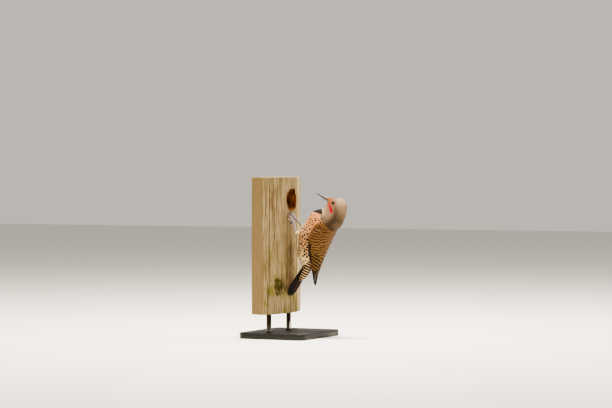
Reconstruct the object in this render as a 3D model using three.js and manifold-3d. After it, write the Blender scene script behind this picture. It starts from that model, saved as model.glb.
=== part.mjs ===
// A male red-shafted flicker (a ground-feeding woodpecker), life size, clinging to a slab cut from
// an old wooden pole, on a plain display stand. Millimetres, +Z up.
//
// The origin is the centre of the stand's underside. The bird's plane of symmetry is XZ. Its belly
// faces -X, towards the slab, its back faces +X, and its left side faces -Y.
// The flesh is one smooth field of round limbs, polygonised once and parted with thin cuts.
import * as THREE from "three";
import Module from "manifold-3d";
import { mergeVertices } from "three/addons/utils/BufferGeometryUtils.js";

const wasm = await Module();
wasm.setup();

// ---------------------------------------------------------------- driving dimensions
const GAP = 0.35; // clearance between neighbouring solids

const BASE_DEPTH = 180; // stand base, along X
const BASE_WIDTH = 220; // along Y
const BASE_THICK = 15;
const BASE_CORNER = 18;
const BASE_BEVEL = 1.5;
const ROD_RADIUS = 6;
const ROD_LENGTH = 45;
const ROD_SPACING = 110; // between the two rods, along Y

const POLE_RADIUS = 271; // of the whole pole that the slab was cut from
const SLAB_HALF_ANGLE = 23; // degrees of the pole's round to either side of the bird
const SLAB_DEPTH = 60; // from the pole's surface to the sawn back
const SLAB_LENGTH = 340;
const SLAB_BELOW_TAIL = 40; // how far the slab reaches below the tail tip
const PIT_HEIGHT = 52; // the excavation above the bird's feet
const PIT_WIDTH = 58;
const PIT_DEPTH = 16;
const PIT_LEVEL = 243; // its middle, above the tail tip
const PIT_SIDE = 17; // its middle, to the bird's right
const CHECK_WIDTH = 3.2; // drying cracks along the grain
const CHECK_DEPTH = 14;
const CHECKS = [
  // degrees round the pole, and each end's height above the tail tip
  { angle: -17, from: -60, to: 150 },
  { angle: -11.5, from: 90, to: 330 },
  { angle: 9.5, from: -60, to: 120 },
  { angle: 15.5, from: 60, to: 330 },
];

const SLAB_BOTTOM = BASE_THICK + ROD_LENGTH;
const TAIL_LEVEL = SLAB_BOTTOM + SLAB_BELOW_TAIL; // height of the tail tip above the floor

const TAIL_LENGTH = 103; // from the root of the middle feathers to their tips
const TAIL_LEAN = 32; // degrees from upright, tip towards the slab
const TAIL_TIP_CLEARANCE = 3; // the middle of the tail's tip to the slab's face
const RECTRIX_PAIRS = 5;
const RECTRIX_WIDTH = 17;
const RECTRIX_THICK = 1.6;
const COVERT_LENGTH = 54; // how far the tail's coverts reach past its root

const BILL_LENGTH = 39;
const BILL_RISE = 28.5; // degrees above level
const BILL_DEPTH = 10.4; // at the face
const BILL_WIDTH = 9.6;
const BILL_SUNK = 5; // how far its root lies inside the face
const BILL_ROOT = { x: 108.5, z: 243 }; // middle of the bill where the feathers end

const EYE_RADIUS = 5.2;
const EYE_AT = { x: 128.5, y: 10.4, z: 235.5 };

// Stations of the flesh, in the plane of symmetry and above the tail tip: the middle, the half
// depth, and the half width as a share of the half depth.
const TRUNK = [
  { x: 47, z: 83, r: 14, w: 0.95 }, // vent
  { x: 57, z: 114, r: 32.5, w: 0.92 }, // belly
  { x: 69, z: 150, r: 41, w: 0.86 }, // breast
  { x: 86, z: 178, r: 38, w: 0.86 }, // crop
];
const NECK = [
  { x: 87, z: 178, r: 35, w: 0.84 },
  { x: 118, z: 197, r: 29.5, w: 0.74 },
  { x: 128.5, z: 218, r: 28, w: 0.62 },
];
const HEAD = [
  { x: 129, z: 217, r: 28.5, w: 0.58 }, // nape
  { x: 136, z: 227, r: 21, w: 0.66 }, // crown
  { x: 122.5, z: 233.5, r: 15.2, w: 0.84 }, // eyes
  { x: 111.5, z: 241.5, r: 7.2, w: 0.9 }, // lores
];
const THROAT = [
  { x: 82, z: 200, r: 20.5, w: 0.95 }, // bib
  { x: 101, z: 211, r: 12.5, w: 0.95 },
  { x: 114.5, z: 223, r: 8, w: 0.95 },
  { x: 117, z: 236.5, r: 6.5, w: 1 }, // chin
];
const BLEND = 6; // how softly the limbs of flesh run into each other

// The closed wings lie on a cone of their own, which leaves the body at the rump.
const WING = [
  { x: 92, z: 184, r: 38, w: 0.92, from: 34, to: 62 }, // shoulder
  { x: 88, z: 176, r: 42, w: 0.92, from: 11, to: 78 },
  { x: 82, z: 165, r: 44, w: 0.92, from: 4, to: 86 },
  { x: 73, z: 148, r: 44, w: 0.92, from: 3, to: 90 },
  { x: 67, z: 118, r: 36, w: 0.92, from: 2, to: 88 },
  { x: 65, z: 88, r: 24.5, w: 0.95, from: 2, to: 82 },
  { x: 66.5, z: 58, r: 13, w: 1, from: 3, to: 76 },
  { x: 69.5, z: 36, r: 6, w: 1.1, from: 8, to: 72 },
  { x: 71.5, z: 28, r: 3.2, w: 1.1, from: 34, to: 56 }, // tips of the primaries
];
const WING_THICK = 5;
const WING_TIP_THICK = 1.6;

// Legs: side is -1 for left and 1 for right. Places are in millimetres above the tail tip.
const LEGS = [
  { name: "left", side: -1, hip: [52, 20, 158], ankle: [26.5, 14, 161], toes: [14, 6.5, 189] },
  { name: "right", side: 1, hip: [52, 18, 172], ankle: [29, 13, 177], toes: [14.5, 6.5, 195] },
];
const THIGH_RADIUS = 9;
const TARSUS_RADIUS = 2.1;
const PALM_LENGTH = 3.4;
const TOE_RADIUS = 1.6;
const TOE_CLEARANCE = 1.2; // the underside of a toe's end to the wood
const TOE_ARCH = 1.6; // how far a toe's middle stands out from the straight
const CLAW_REACH = 5.2; // from the toe's end to the claw's point, along the wood
const CLAW_ARCH = 0.8; // how far a claw's back stands above its ends
const CLAW_POINT = 0.3; // radius at the point
const CLAW_CLEARANCE = 1; // the claw's point to the wood
// Each toe: how far its tip lies to the side and above the toes' root.
const TOES = [
  { side: -5, up: -9 }, // 1, the short hind toe, inwards and down
  { side: -4, up: 13 }, // 2, forward
  { side: 2.5, up: 15.5 }, // 3, forward, the longest
  { side: 10, up: 6 }, // 4, reversed, out to the side
];

// ---------------------------------------------------------------- materials
const finish = (color, roughness, metalness = 0) =>
  new THREE.MeshStandardMaterial({ color, roughness, metalness });
const PLUMAGE_HEAD = finish(0x9a8468, 0.85);
const PLUMAGE_BODY = finish(0xd0a983, 0.85);
const PLUMAGE_WING = finish(0x8c6a45, 0.8);
const PLUMAGE_TAIL = finish(0x17130f, 0.7);
const HORN = finish(0x8d8682, 0.45);
const EYE = finish(0x1a0d08, 0.08);
const LEG_SKIN = finish(0x9b979c, 0.6);
const CLAW = finish(0x3a3633, 0.4);
const OLD_WOOD = finish(0xb49a6c, 0.9);
const STAND = finish(0x2c2a28, 0.4);
const STEEL = finish(0x9a9a9a, 0.3, 0.9);

// ---------------------------------------------------------------- solids
const radians = THREE.MathUtils.degToRad;
const lerp = THREE.MathUtils.lerp;

// A closed geometry as a manifold-3d solid.
function solidOf(geometry) {
  const bare = new THREE.BufferGeometry();
  bare.setAttribute("position", geometry.getAttribute("position"));
  bare.setIndex(geometry.getIndex());
  const merged = mergeVertices(bare, 1e-4);
  return new wasm.Manifold(
    new wasm.Mesh({
      numProp: 3,
      vertProperties: merged.attributes.position.array,
      triVerts: new Uint32Array(merged.index.array),
    }),
  );
}

// The largest body of a solid, without the slivers that a cut may leave.
function largest(solid) {
  return solid.decompose().sort((a, b) => b.volume() - a.volume())[0];
}

function meshOf(name, solid, material) {
  const made = solid.getMesh();
  const geometry = new THREE.BufferGeometry();
  geometry.setAttribute("position", new THREE.Float32BufferAttribute(made.vertProperties, 3));
  geometry.setIndex(new THREE.BufferAttribute(made.triVerts, 1));
  geometry.computeVertexNormals();
  const mesh = new THREE.Mesh(geometry, material);
  mesh.name = name;
  return mesh;
}

// A closed skin over rings of points, which all have the same number of points.
function loft(rings) {
  const sides = rings[0].length;
  const places = rings.flat();
  const index = [];
  for (let i = 0; i + 1 < rings.length; i++)
    for (let j = 0; j < sides; j++) {
      const a = i * sides + j;
      const b = i * sides + ((j + 1) % sides);
      index.push(a, b, b + sides, a, b + sides, a + sides);
    }
  const close = (ring, first, outwards) => {
    const middle = ring.reduce((s, p) => s.add(p), new THREE.Vector3()).divideScalar(sides);
    places.push(middle);
    const m = places.length - 1;
    for (let j = 0; j < sides; j++) {
      const a = first + j;
      const b = first + ((j + 1) % sides);
      index.push(...(outwards ? [m, a, b] : [m, b, a]));
    }
  };
  close(rings[0], 0, false);
  close(rings.at(-1), (rings.length - 1) * sides, true);
  const geometry = new THREE.BufferGeometry().setFromPoints(places);
  geometry.setIndex(facingOut(places, index));
  return geometry;
}

// The triangles of a closed skin, turned round where they face inwards.
function facingOut(places, index) {
  let volume = 0;
  for (let i = 0; i < index.length; i += 3) {
    const [a, b, c] = [0, 1, 2].map((k) => places[index[i + k]]);
    volume += a.dot(new THREE.Vector3().crossVectors(b, c));
  }
  return volume < 0 ? index.reverse() : index;
}

// A round limb along a curve, whose radius at share t is radius(t).
function limb(points, radius, sides = 10, steps = 8) {
  const curve = new THREE.CatmullRomCurve3(points);
  const rings = [];
  for (let i = 0; i <= steps; i++) {
    const t = i / steps;
    const along = curve.getTangentAt(t);
    const across = new THREE.Vector3(0, 1, 0).addScaledVector(along, -along.y).normalize();
    if (across.lengthSq() < 0.5) across.set(1, 0, 0);
    const over = new THREE.Vector3().crossVectors(along, across);
    const middle = curve.getPointAt(t);
    rings.push(
      Array.from({ length: sides }, (_, j) => {
        const turn = (2 * Math.PI * j) / sides;
        return middle
          .clone()
          .addScaledVector(across, radius(t) * Math.cos(turn))
          .addScaledVector(over, radius(t) * Math.sin(turn));
      }),
    );
  }
  return loft(rings);
}

// ---------------------------------------------------------------- the field of flesh
// The distance from a round limb through the stations, less than 0 inside.
function limbField(stations, x, y, z) {
  let nearest = Infinity;
  for (let i = 0; i + 1 < stations.length; i++) {
    const a = stations[i];
    const b = stations[i + 1];
    const dx = b.x - a.x;
    const dz = b.z - a.z;
    const share = ((x - a.x) * dx + (z - a.z) * dz) / (dx * dx + dz * dz);
    const t = Math.min(1, Math.max(0, share));
    const w = lerp(a.w, b.w, t);
    const away = Math.hypot(x - lerp(a.x, b.x, t), y / w, z - lerp(a.z, b.z, t));
    nearest = softer(nearest, away - lerp(a.r, b.r, t), BLEND / 2);
  }
  return nearest;
}

// The lesser of two distances, rounded where they are alike.
function softer(a, b, reach) {
  if (a === Infinity) return b;
  const near = Math.max(reach - Math.abs(a - b), 0) / reach;
  return Math.min(a, b) - (near * near * reach) / 4;
}

const fleshField = (x, y, z) =>
  [TRUNK, NECK, HEAD, THROAT]
    .map((stations) => limbField(stations, x, y, z))
    .reduce((a, b) => softer(a, b, BLEND));

// The surface where field is 0, as surface nets on a grid, drawn onto the surface afterwards.
function polygonise(field, low, high, step) {
  const count = low.map((v, i) => Math.ceil((high[i] - v) / step) + 1);
  const at = (i, j, k) => (k * count[1] + j) * count[0] + i;
  const place = (i, j, k) => [low[0] + i * step, low[1] + j * step, low[2] + k * step];
  const values = new Float64Array(count[0] * count[1] * count[2]);
  for (let k = 0; k < count[2]; k++)
    for (let j = 0; j < count[1]; j++)
      for (let i = 0; i < count[0]; i++) values[at(i, j, k)] = field(...place(i, j, k));
  const corners = [0, 1, 2, 3, 4, 5, 6, 7].map((c) => [c & 1, (c >> 1) & 1, c >> 2]);
  const points = [];
  const cell = new Map();
  for (let k = 0; k + 1 < count[2]; k++)
    for (let j = 0; j + 1 < count[1]; j++)
      for (let i = 0; i + 1 < count[0]; i++) {
        const inside = corners.map(([a, b, c]) => values[at(i + a, j + b, k + c)] < 0);
        if (inside.every(Boolean) || !inside.some(Boolean)) continue;
        cell.set(at(i, j, k), points.length);
        points.push(drawnOn(field, place(i + 0.5, j + 0.5, k + 0.5)));
      }
  const index = [];
  const axes = [
    [1, 0, 0],
    [0, 1, 0],
    [0, 0, 1],
  ];
  for (let k = 1; k + 1 < count[2]; k++)
    for (let j = 1; j + 1 < count[1]; j++)
      for (let i = 1; i + 1 < count[0]; i++)
        axes.forEach(([a, b, c], axis) => {
          const here = values[at(i, j, k)] < 0;
          if (here === values[at(i + a, j + b, k + c)] < 0) return;
          const u = axes[(axis + 1) % 3];
          const v = axes[(axis + 2) % 3];
          const quad = [
            [0, 0],
            [1, 0],
            [1, 1],
            [0, 1],
          ].map(([p, q]) =>
            cell.get(
              at(i - p * u[0] - q * v[0], j - p * u[1] - q * v[1], k - p * u[2] - q * v[2]),
            ),
          );
          if (!here) quad.reverse();
          index.push(quad[0], quad[1], quad[2], quad[0], quad[2], quad[3]);
        });
  const geometry = new THREE.BufferGeometry().setFromPoints(points);
  geometry.setIndex(index);
  return geometry;
}

// A point moved down the slope of the field onto the surface where the field is 0.
function drawnOn(field, [x, y, z]) {
  const reach = 0.5;
  for (let turn = 0; turn < 4; turn++) {
    const here = field(x, y, z);
    const slope = [
      field(x + reach, y, z) - field(x - reach, y, z),
      field(x, y + reach, z) - field(x, y - reach, z),
      field(x, y, z + reach) - field(x, y, z - reach),
    ].map((v) => v / (2 * reach));
    const steep = slope.reduce((s, v) => s + v * v, 0);
    x -= (here * slope[0]) / steep;
    y -= (here * slope[1]) / steep;
    z -= (here * slope[2]) / steep;
  }
  return new THREE.Vector3(x, y, z);
}

const FLESH_LOW = [-4, -52, 52];
const FLESH_HIGH = [172, 52, 270];
const FLESH_STEP = 7.9;
const flesh = solidOf(polygonise(fleshField, FLESH_LOW, FLESH_HIGH, FLESH_STEP));

// ---------------------------------------------------------------- wings
// One closed wing. side is -1 for left and 1 for right; grow makes it larger all over.
function wingGeometry(side, grow = 0) {
  const across = 7;
  const smooth = (key) => {
    const points = WING.map((s, i) => new THREE.Vector2(i, s[key]));
    const curve = new THREE.SplineCurve(points);
    return (t) => curve.getPoint(t).y;
  };
  const along = Object.fromEntries(["x", "z", "r", "w", "from", "to"].map((k) => [k, smooth(k)]));
  const steps = 13;
  const rings = [];
  for (let i = 0; i <= steps; i++) {
    const t = i / steps;
    const end = i === 0 ? grow : i === steps ? -grow : 0;
    const thick = lerp(WING_THICK, WING_TIP_THICK, t) * (i === 0 || i === steps ? 0.6 : 1);
    const radius = along.r(t);
    const spare = THREE.MathUtils.radToDeg(grow / radius);
    const from = along.from(t) - spare;
    const to = along.to(t) + spare;
    const point = (angle, out) => {
      const turn = radians(angle);
      const reach = radius + out;
      return new THREE.Vector3(
        along.x(t) + reach * Math.cos(turn),
        side * along.w(t) * reach * Math.sin(turn),
        along.z(t) + end,
      );
    };
    const outer = [];
    const inner = [];
    for (let j = 0; j <= across; j++) {
      const share = j / across;
      const edge = Math.sqrt(Math.max(0.16, 1 - Math.pow(2 * share - 1, 6)));
      const angle = lerp(from, to, share);
      outer.push(point(angle, grow));
      inner.push(point(angle, -thick * edge - grow));
    }
    rings.push([...outer, ...inner.reverse()]);
  }
  return loft(rings);
}

// ---------------------------------------------------------------- tail
// The tail's root and the directions along it, out of its back, and across it.
const tailTip = new THREE.Vector3(TAIL_TIP_CLEARANCE, 0, 1);
const tailAlong = new THREE.Vector3(-Math.sin(radians(TAIL_LEAN)), 0, -Math.cos(radians(TAIL_LEAN)));
const tailBack = new THREE.Vector3(Math.cos(radians(TAIL_LEAN)), 0, -Math.sin(radians(TAIL_LEAN)));
const tailRoot = tailTip.clone().addScaledVector(tailAlong, -TAIL_LENGTH);

// One tail feather: a stiff blade with a pointed tip. rank 0 is the middle pair.
function rectrix(rank, side, grow = 0) {
  const length = TAIL_LENGTH - rank * rank;
  const fan = radians(1.4 + 2.6 * rank) * side;
  const offset = side * (1.5 + 1.5 * rank);
  const depth = -0.9 * rank; // outer feathers lie below
  const steps = 5;
  const rings = [];
  for (let i = 0; i <= steps; i++) {
    const t = i / steps;
    const taper = t < 0.72 ? 1 : Math.cos(((t - 0.72) / 0.28) * 1.45);
    const half = (RECTRIX_WIDTH / 2) * lerp(0.55, 1, Math.min(1, t * 3)) * taper + grow;
    const thick = RECTRIX_THICK / 2 + grow;
    const reach = length * t + (i === 0 ? -grow : i === steps ? grow : 0);
    const middle = tailRoot
      .clone()
      .addScaledVector(tailAlong, reach * Math.cos(fan))
      .addScaledVector(tailBack, depth);
    middle.y += offset + reach * Math.sin(fan);
    const corner = (a, b) => {
      const p = middle.clone().addScaledVector(tailBack, b * thick - Math.abs(a) * 0.6);
      p.y += a * half;
      return p;
    };
    const below = [corner(-1, -0.5), corner(0, -1), corner(1, -0.5)];
    rings.push([...below, corner(1, 0.5), corner(0, 1), corner(-1, 0.5)]);
  }
  return loft(rings);
}

// The soft root of the tail: the coverts above and below the feathers.
function tailCoverts(grow = 0) {
  const steps = 7;
  const sides = 12;
  const rings = [];
  for (let i = 0; i <= steps; i++) {
    const t = i / steps;
    const round = Math.sqrt(Math.max(0.04, 1 - t ** 4));
    const half = lerp(12, 16, Math.min(1, 2 * t)) * round + grow;
    const over = 12.5 * round + grow;
    const under = lerp(11, 5, t) * round + grow;
    const middle = tailRoot.clone().addScaledVector(tailAlong, lerp(-8, COVERT_LENGTH, t));
    rings.push(
      Array.from({ length: sides }, (_, j) => {
        const turn = (2 * Math.PI * j) / sides;
        const up = Math.sin(turn);
        const p = middle.clone().addScaledVector(tailBack, up * (up > 0 ? over : under));
        p.y += half * Math.cos(turn);
        return p;
      }),
    );
  }
  return loft(rings);
}

function tailSolid(grow = 0) {
  let made = solidOf(tailCoverts(grow));
  for (let rank = 0; rank < RECTRIX_PAIRS; rank++)
    for (const side of [-1, 1]) made = made.add(solidOf(rectrix(rank, side, grow)));
  return made;
}

// ---------------------------------------------------------------- bill and eyes
const billAlong = new THREE.Vector3(-Math.cos(radians(BILL_RISE)), 0, Math.sin(radians(BILL_RISE)));
const billUp = new THREE.Vector3(Math.sin(radians(BILL_RISE)), 0, Math.cos(radians(BILL_RISE)));

// One mandible, rooted inside the face. up is 1 for the upper and -1 for the lower.
function mandible(up, grow = 0) {
  const length = up > 0 ? BILL_LENGTH : BILL_LENGTH - 1.2;
  const steps = 8;
  const rings = [];
  for (let i = 0; i <= steps; i++) {
    const t = i / steps;
    const along = lerp(-BILL_SUNK, length, t);
    const share = Math.max(0, along / length);
    const taper = 1 - 0.93 * Math.pow(share, 1.25);
    const tall = (BILL_DEPTH / 2) * taper * (up > 0 ? 1 : 0.86) + 2 * grow;
    const half = (BILL_WIDTH / 2) * (1 - 0.9 * Math.pow(share, 0.95)) + grow;
    const droop = -1.1 * share * share; // the whole bill bends down a little
    const middle = new THREE.Vector3(BILL_ROOT.x, 0, BILL_ROOT.z)
      .addScaledVector(billAlong, along - (i === 0 ? grow : 0))
      .addScaledVector(billUp, droop + up * (GAP / 2 - grow));
    const ring = Array.from({ length: 9 }, (_, j) => {
      const turn = (Math.PI * j) / 8;
      const p = middle
        .clone()
        .addScaledVector(billUp, up * tall * Math.pow(Math.sin(turn), 0.9));
      p.y += half * Math.cos(turn);
      return p;
    });
    rings.push(ring);
  }
  return loft(rings);
}

function eyeBall(side, grow = 0) {
  const ball = new THREE.IcosahedronGeometry(EYE_RADIUS + grow, 2);
  ball.deleteAttribute("normal");
  ball.deleteAttribute("uv");
  ball.translate(EYE_AT.x, side * EYE_AT.y, EYE_AT.z);
  return ball;
}

// ---------------------------------------------------------------- legs
// The pole's face at a distance y from the plane of symmetry.
const poleFace = (y) => Math.sqrt(POLE_RADIUS ** 2 - y * y) - POLE_RADIUS;

const legPoint = (leg, [x, y, z]) => new THREE.Vector3(x, leg.side * y, z);

function thighGeometry(leg) {
  const hip = legPoint(leg, leg.hip);
  const ankle = legPoint(leg, leg.ankle);
  const knee = hip.clone().lerp(ankle, 0.5);
  return limb([hip, knee, ankle], (t) => lerp(THIGH_RADIUS, TARSUS_RADIUS + 1.4, t * t), 12, 6);
}

function tarsusGeometry(leg, grow = 0) {
  const ankle = legPoint(leg, leg.ankle);
  const toes = legPoint(leg, leg.toes);
  const along = toes.clone().sub(ankle).normalize();
  const start = ankle.clone().addScaledVector(along, 3 - grow);
  const end = toes.clone().addScaledVector(along, grow - GAP);
  const swell = (t) => TARSUS_RADIUS * (1 + 0.25 * Math.pow(2 * t - 1, 2)) + grow;
  return limb([start, start.clone().lerp(end, 0.5), end], swell, 10, 6);
}

// The palm's middle line, from the end of the tarsus onwards.
function palmLine(leg) {
  const root = legPoint(leg, leg.toes);
  const along = root.clone().sub(legPoint(leg, leg.ankle)).normalize();
  return [0, 0.5, 1].map((t) => root.clone().addScaledVector(along, PALM_LENGTH * t));
}

// The middle line of a toe, from the palm to where its claw begins, lying on the wood.
function toeLine(leg, toe) {
  const start = palmLine(leg)[1];
  const y = start.y + leg.side * toe.side;
  const tip = new THREE.Vector3(poleFace(y) + TOE_RADIUS + TOE_CLEARANCE, y, leg.toes[2] + toe.up);
  const middle = start.clone().lerp(tip, 0.55);
  middle.x += TOE_ARCH;
  return [start, middle, tip];
}

function footSolid(leg) {
  const palm = solidOf(limb(palmLine(leg), () => TARSUS_RADIUS * 1.25, 8, 1));
  const thick = (t) => TOE_RADIUS * (1.15 - 0.25 * t);
  return TOES.reduce((foot, toe) => foot.add(solidOf(limb(toeLine(leg, toe), thick, 6, 4))), palm);
}

// A curved claw, which starts just past the flat end of its toe.
function clawSolid(leg, toe) {
  const line = toeLine(leg, toe);
  const tip = line[2];
  const along = new THREE.CatmullRomCurve3(line).getTangentAt(1);
  const flat = new THREE.Vector3(0, along.y, along.z).normalize();
  const end = tip.clone().addScaledVector(flat, CLAW_REACH);
  end.x = poleFace(end.y) + CLAW_CLEARANCE;
  const crest = tip.clone().lerp(end, 0.5);
  crest.x = Math.max(tip.x, end.x) + CLAW_ARCH;
  const thick = (t) => lerp(TOE_RADIUS * 0.78, CLAW_POINT, Math.pow(t, 0.8));
  const claw = solidOf(limb([tip, crest, end], thick, 6, 5));
  return claw.trimByPlane(along.toArray(), along.dot(tip) + GAP);
}

// ---------------------------------------------------------------- slab and stand
function slabSolid() {
  const outline = new THREE.Shape();
  const half = radians(SLAB_HALF_ANGLE);
  const inner = POLE_RADIUS - SLAB_DEPTH;
  const centre = -POLE_RADIUS;
  outline.absarc(centre, 0, POLE_RADIUS, -half, half, false);
  outline.lineTo(centre + inner, inner * Math.tan(half));
  outline.lineTo(centre + inner, -inner * Math.tan(half));
  outline.closePath();
  const block = new THREE.ExtrudeGeometry(outline, {
    depth: SLAB_LENGTH,
    bevelEnabled: false,
    curveSegments: 14,
  });
  block.translate(0, 0, -SLAB_BELOW_TAIL);
  const pit = new THREE.SphereGeometry(1, 16, 10);
  pit.scale(PIT_DEPTH, PIT_WIDTH / 2, PIT_HEIGHT / 2);
  pit.translate(0, PIT_SIDE, PIT_LEVEL);
  const hollowed = solidOf(block).subtract(solidOf(pit));
  return CHECKS.reduce((slab, check) => slab.subtract(solidOf(checkGeometry(check))), hollowed);
}

// A crack along the grain, pointed at both ends.
function checkGeometry({ angle, from, to }) {
  const turn = radians(angle);
  const out = new THREE.Vector3(Math.cos(turn), Math.sin(turn), 0);
  const across = new THREE.Vector3(-Math.sin(turn), Math.cos(turn), 0);
  const steps = 4;
  const rings = [];
  for (let i = 0; i <= steps; i++) {
    const t = i / steps;
    const open = Math.max(0.08, Math.sin(Math.PI * t));
    const at = (reach, side) =>
      new THREE.Vector3(-POLE_RADIUS, 0, lerp(from, to, t))
        .addScaledVector(out, POLE_RADIUS + reach)
        .addScaledVector(across, side * CHECK_WIDTH * open);
    const mouth = [at(3, -0.6), at(3, 0.6)]; // past the face, where it is a little wider
    const bottom = [at(-CHECK_DEPTH * open, 0.05), at(-CHECK_DEPTH * open, -0.05)];
    rings.push([...mouth, ...bottom]);
  }
  return loft(rings);
}

function baseGeometry() {
  const x = BASE_DEPTH / 2 - BASE_BEVEL;
  const y = BASE_WIDTH / 2 - BASE_BEVEL;
  const r = BASE_CORNER;
  const outline = new THREE.Shape();
  outline.moveTo(-x + r, -y);
  outline.absarc(x - r, -y + r, r, -Math.PI / 2, 0, false);
  outline.absarc(x - r, y - r, r, 0, Math.PI / 2, false);
  outline.absarc(-x + r, y - r, r, Math.PI / 2, Math.PI, false);
  outline.absarc(-x + r, -y + r, r, Math.PI, 1.5 * Math.PI, false);
  const plate = new THREE.ExtrudeGeometry(outline, {
    depth: BASE_THICK - 2 * BASE_BEVEL,
    bevelThickness: BASE_BEVEL,
    bevelSize: BASE_BEVEL,
    bevelSegments: 1,
    curveSegments: 4,
  });
  plate.translate(0, 0, BASE_BEVEL);
  return plate;
}

function rodGeometry(side) {
  const rod = new THREE.CylinderGeometry(ROD_RADIUS, ROD_RADIUS, ROD_LENGTH, 20);
  rod.rotateX(Math.PI / 2);
  rod.translate(-SLAB_DEPTH / 2, (side * ROD_SPACING) / 2, BASE_THICK + ROD_LENGTH / 2);
  return rod;
}

// ---------------------------------------------------------------- assembly
const flicker = new THREE.Group();
const raised = new THREE.Group(); // everything whose heights are counted from the tail tip
raised.position.z = TAIL_LEVEL;
flicker.add(raised);

const wings = [-1, 1].map((side) => solidOf(wingGeometry(side)));
const wingSpace = [-1, 1].map((side) => solidOf(wingGeometry(side, GAP)));
const tailSpace = tailSolid(GAP);
const billSpace = solidOf(mandible(1, GAP)).add(solidOf(mandible(-1, GAP)));
const eyeSpace = [-1, 1].map((side) => solidOf(eyeBall(side, GAP)));

// The cuts between head, neck and trunk: a point on each, and the way that the neck runs there.
const headCut = { x: 117, z: 214, lean: 38 };
const neckCut = { x: 103, z: 190, lean: 52 };
const normalOf = (cut) => [Math.cos(radians(cut.lean)), 0, Math.sin(radians(cut.lean))];
const offsetOf = (cut) => {
  const [a, , c] = normalOf(cut);
  return a * cut.x + c * cut.z;
};
const above = (solid, cut) => solid.trimByPlane(normalOf(cut), offsetOf(cut) + GAP / 2);
const below = (solid, cut) =>
  solid.trimByPlane(normalOf(cut).map((v) => -v), -(offsetOf(cut) - GAP / 2));

const head = eyeSpace.reduce((s, e) => s.subtract(e), above(flesh, headCut).subtract(billSpace));
const neck = wingSpace.reduce((s, w) => s.subtract(w), below(above(flesh, neckCut), headCut));
const trunk = wingSpace.reduce((s, w) => s.subtract(w), below(flesh, neckCut)).subtract(tailSpace);
raised.add(meshOf("head", largest(head), PLUMAGE_HEAD));
raised.add(meshOf("neck", largest(neck), PLUMAGE_HEAD));
raised.add(meshOf("trunk", largest(trunk), PLUMAGE_BODY));

const sideName = (side) => (side < 0 ? "left" : "right");
[-1, 1].forEach((side, i) => {
  const name = sideName(side);
  raised.add(meshOf("wing_" + name, largest(wings[i]), PLUMAGE_WING));
  raised.add(meshOf("eye_" + name, solidOf(eyeBall(side)), EYE));
});
const tail = wingSpace.reduce((s, w) => s.subtract(w), tailSolid());
raised.add(meshOf("tail", largest(tail), PLUMAGE_TAIL));
raised.add(meshOf("bill_upper", solidOf(mandible(1)), HORN));
raised.add(meshOf("bill_lower", solidOf(mandible(-1)), HORN));

const FACET_SAG = 0.3; // how far a flat face of the flesh may lie off its round surface
const grownFlesh = (x, y, z) => fleshField(x, y, z) - GAP - FACET_SAG;
const fleshSpace = solidOf(polygonise(grownFlesh, FLESH_LOW, FLESH_HIGH, FLESH_STEP));
for (const leg of LEGS) {
  const tarsusSpace = solidOf(tarsusGeometry(leg, GAP));
  const thigh = solidOf(thighGeometry(leg)).subtract(fleshSpace).subtract(tarsusSpace);
  raised.add(meshOf("thigh_" + leg.name, largest(thigh), PLUMAGE_BODY));
  raised.add(meshOf("tarsus_" + leg.name, solidOf(tarsusGeometry(leg)), LEG_SKIN));
  const foot = footSolid(leg).subtract(tarsusSpace);
  raised.add(meshOf("foot_" + leg.name, largest(foot), LEG_SKIN));
  TOES.forEach((toe, i) =>
    raised.add(meshOf(`claw_${leg.name}_${i + 1}`, largest(clawSolid(leg, toe)), CLAW)),
  );
}

raised.add(meshOf("perch", slabSolid(), OLD_WOOD));
flicker.add(meshOf("stand_base", solidOf(baseGeometry()), STAND));
for (const side of [-1, 1])
  flicker.add(meshOf("stand_rod_" + sideName(side), solidOf(rodGeometry(side)), STEEL));

export default flicker;
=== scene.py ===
"""The looks of a life-size male flicker, a woodpecker, clinging to a slab of an old pole on a stand.

Places are in millimetres above the tail tip, as the part's own stations are, and become metres in the
frame when a mesh is made. The bird's plane of symmetry is XZ: -X faces the slab, -Y is its left.
"""
import math

import bpy
import numpy as np
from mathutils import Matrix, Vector
from mathutils.kdtree import KDTree


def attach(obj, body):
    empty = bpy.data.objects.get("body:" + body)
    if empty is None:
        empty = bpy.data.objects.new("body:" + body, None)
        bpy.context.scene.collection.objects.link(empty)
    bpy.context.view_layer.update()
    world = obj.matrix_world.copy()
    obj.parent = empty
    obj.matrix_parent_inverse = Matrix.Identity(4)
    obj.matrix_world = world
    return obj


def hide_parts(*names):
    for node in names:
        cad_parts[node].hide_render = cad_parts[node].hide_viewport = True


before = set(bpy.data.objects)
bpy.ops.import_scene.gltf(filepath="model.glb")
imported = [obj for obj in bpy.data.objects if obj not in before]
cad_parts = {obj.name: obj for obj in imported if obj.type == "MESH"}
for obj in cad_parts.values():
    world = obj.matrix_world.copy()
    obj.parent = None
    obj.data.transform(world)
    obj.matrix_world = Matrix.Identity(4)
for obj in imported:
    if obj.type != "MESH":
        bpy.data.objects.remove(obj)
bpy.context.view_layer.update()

MM = 0.001
TAIL_LEVEL = 100  # the tail tip above the floor


# ---- camera
CAMERA_TURN = math.radians(26)  # round the bird, from its left side towards its back
CAMERA_RISE = math.radians(1)
CAMERA_AWAY = 6.0
FRAME_WIDTH = 1.53  # what the picture spans at the bird, in metres
AIM = Vector((0.0371, 0.0181, 0.3325))
SENSOR = 36.0


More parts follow.
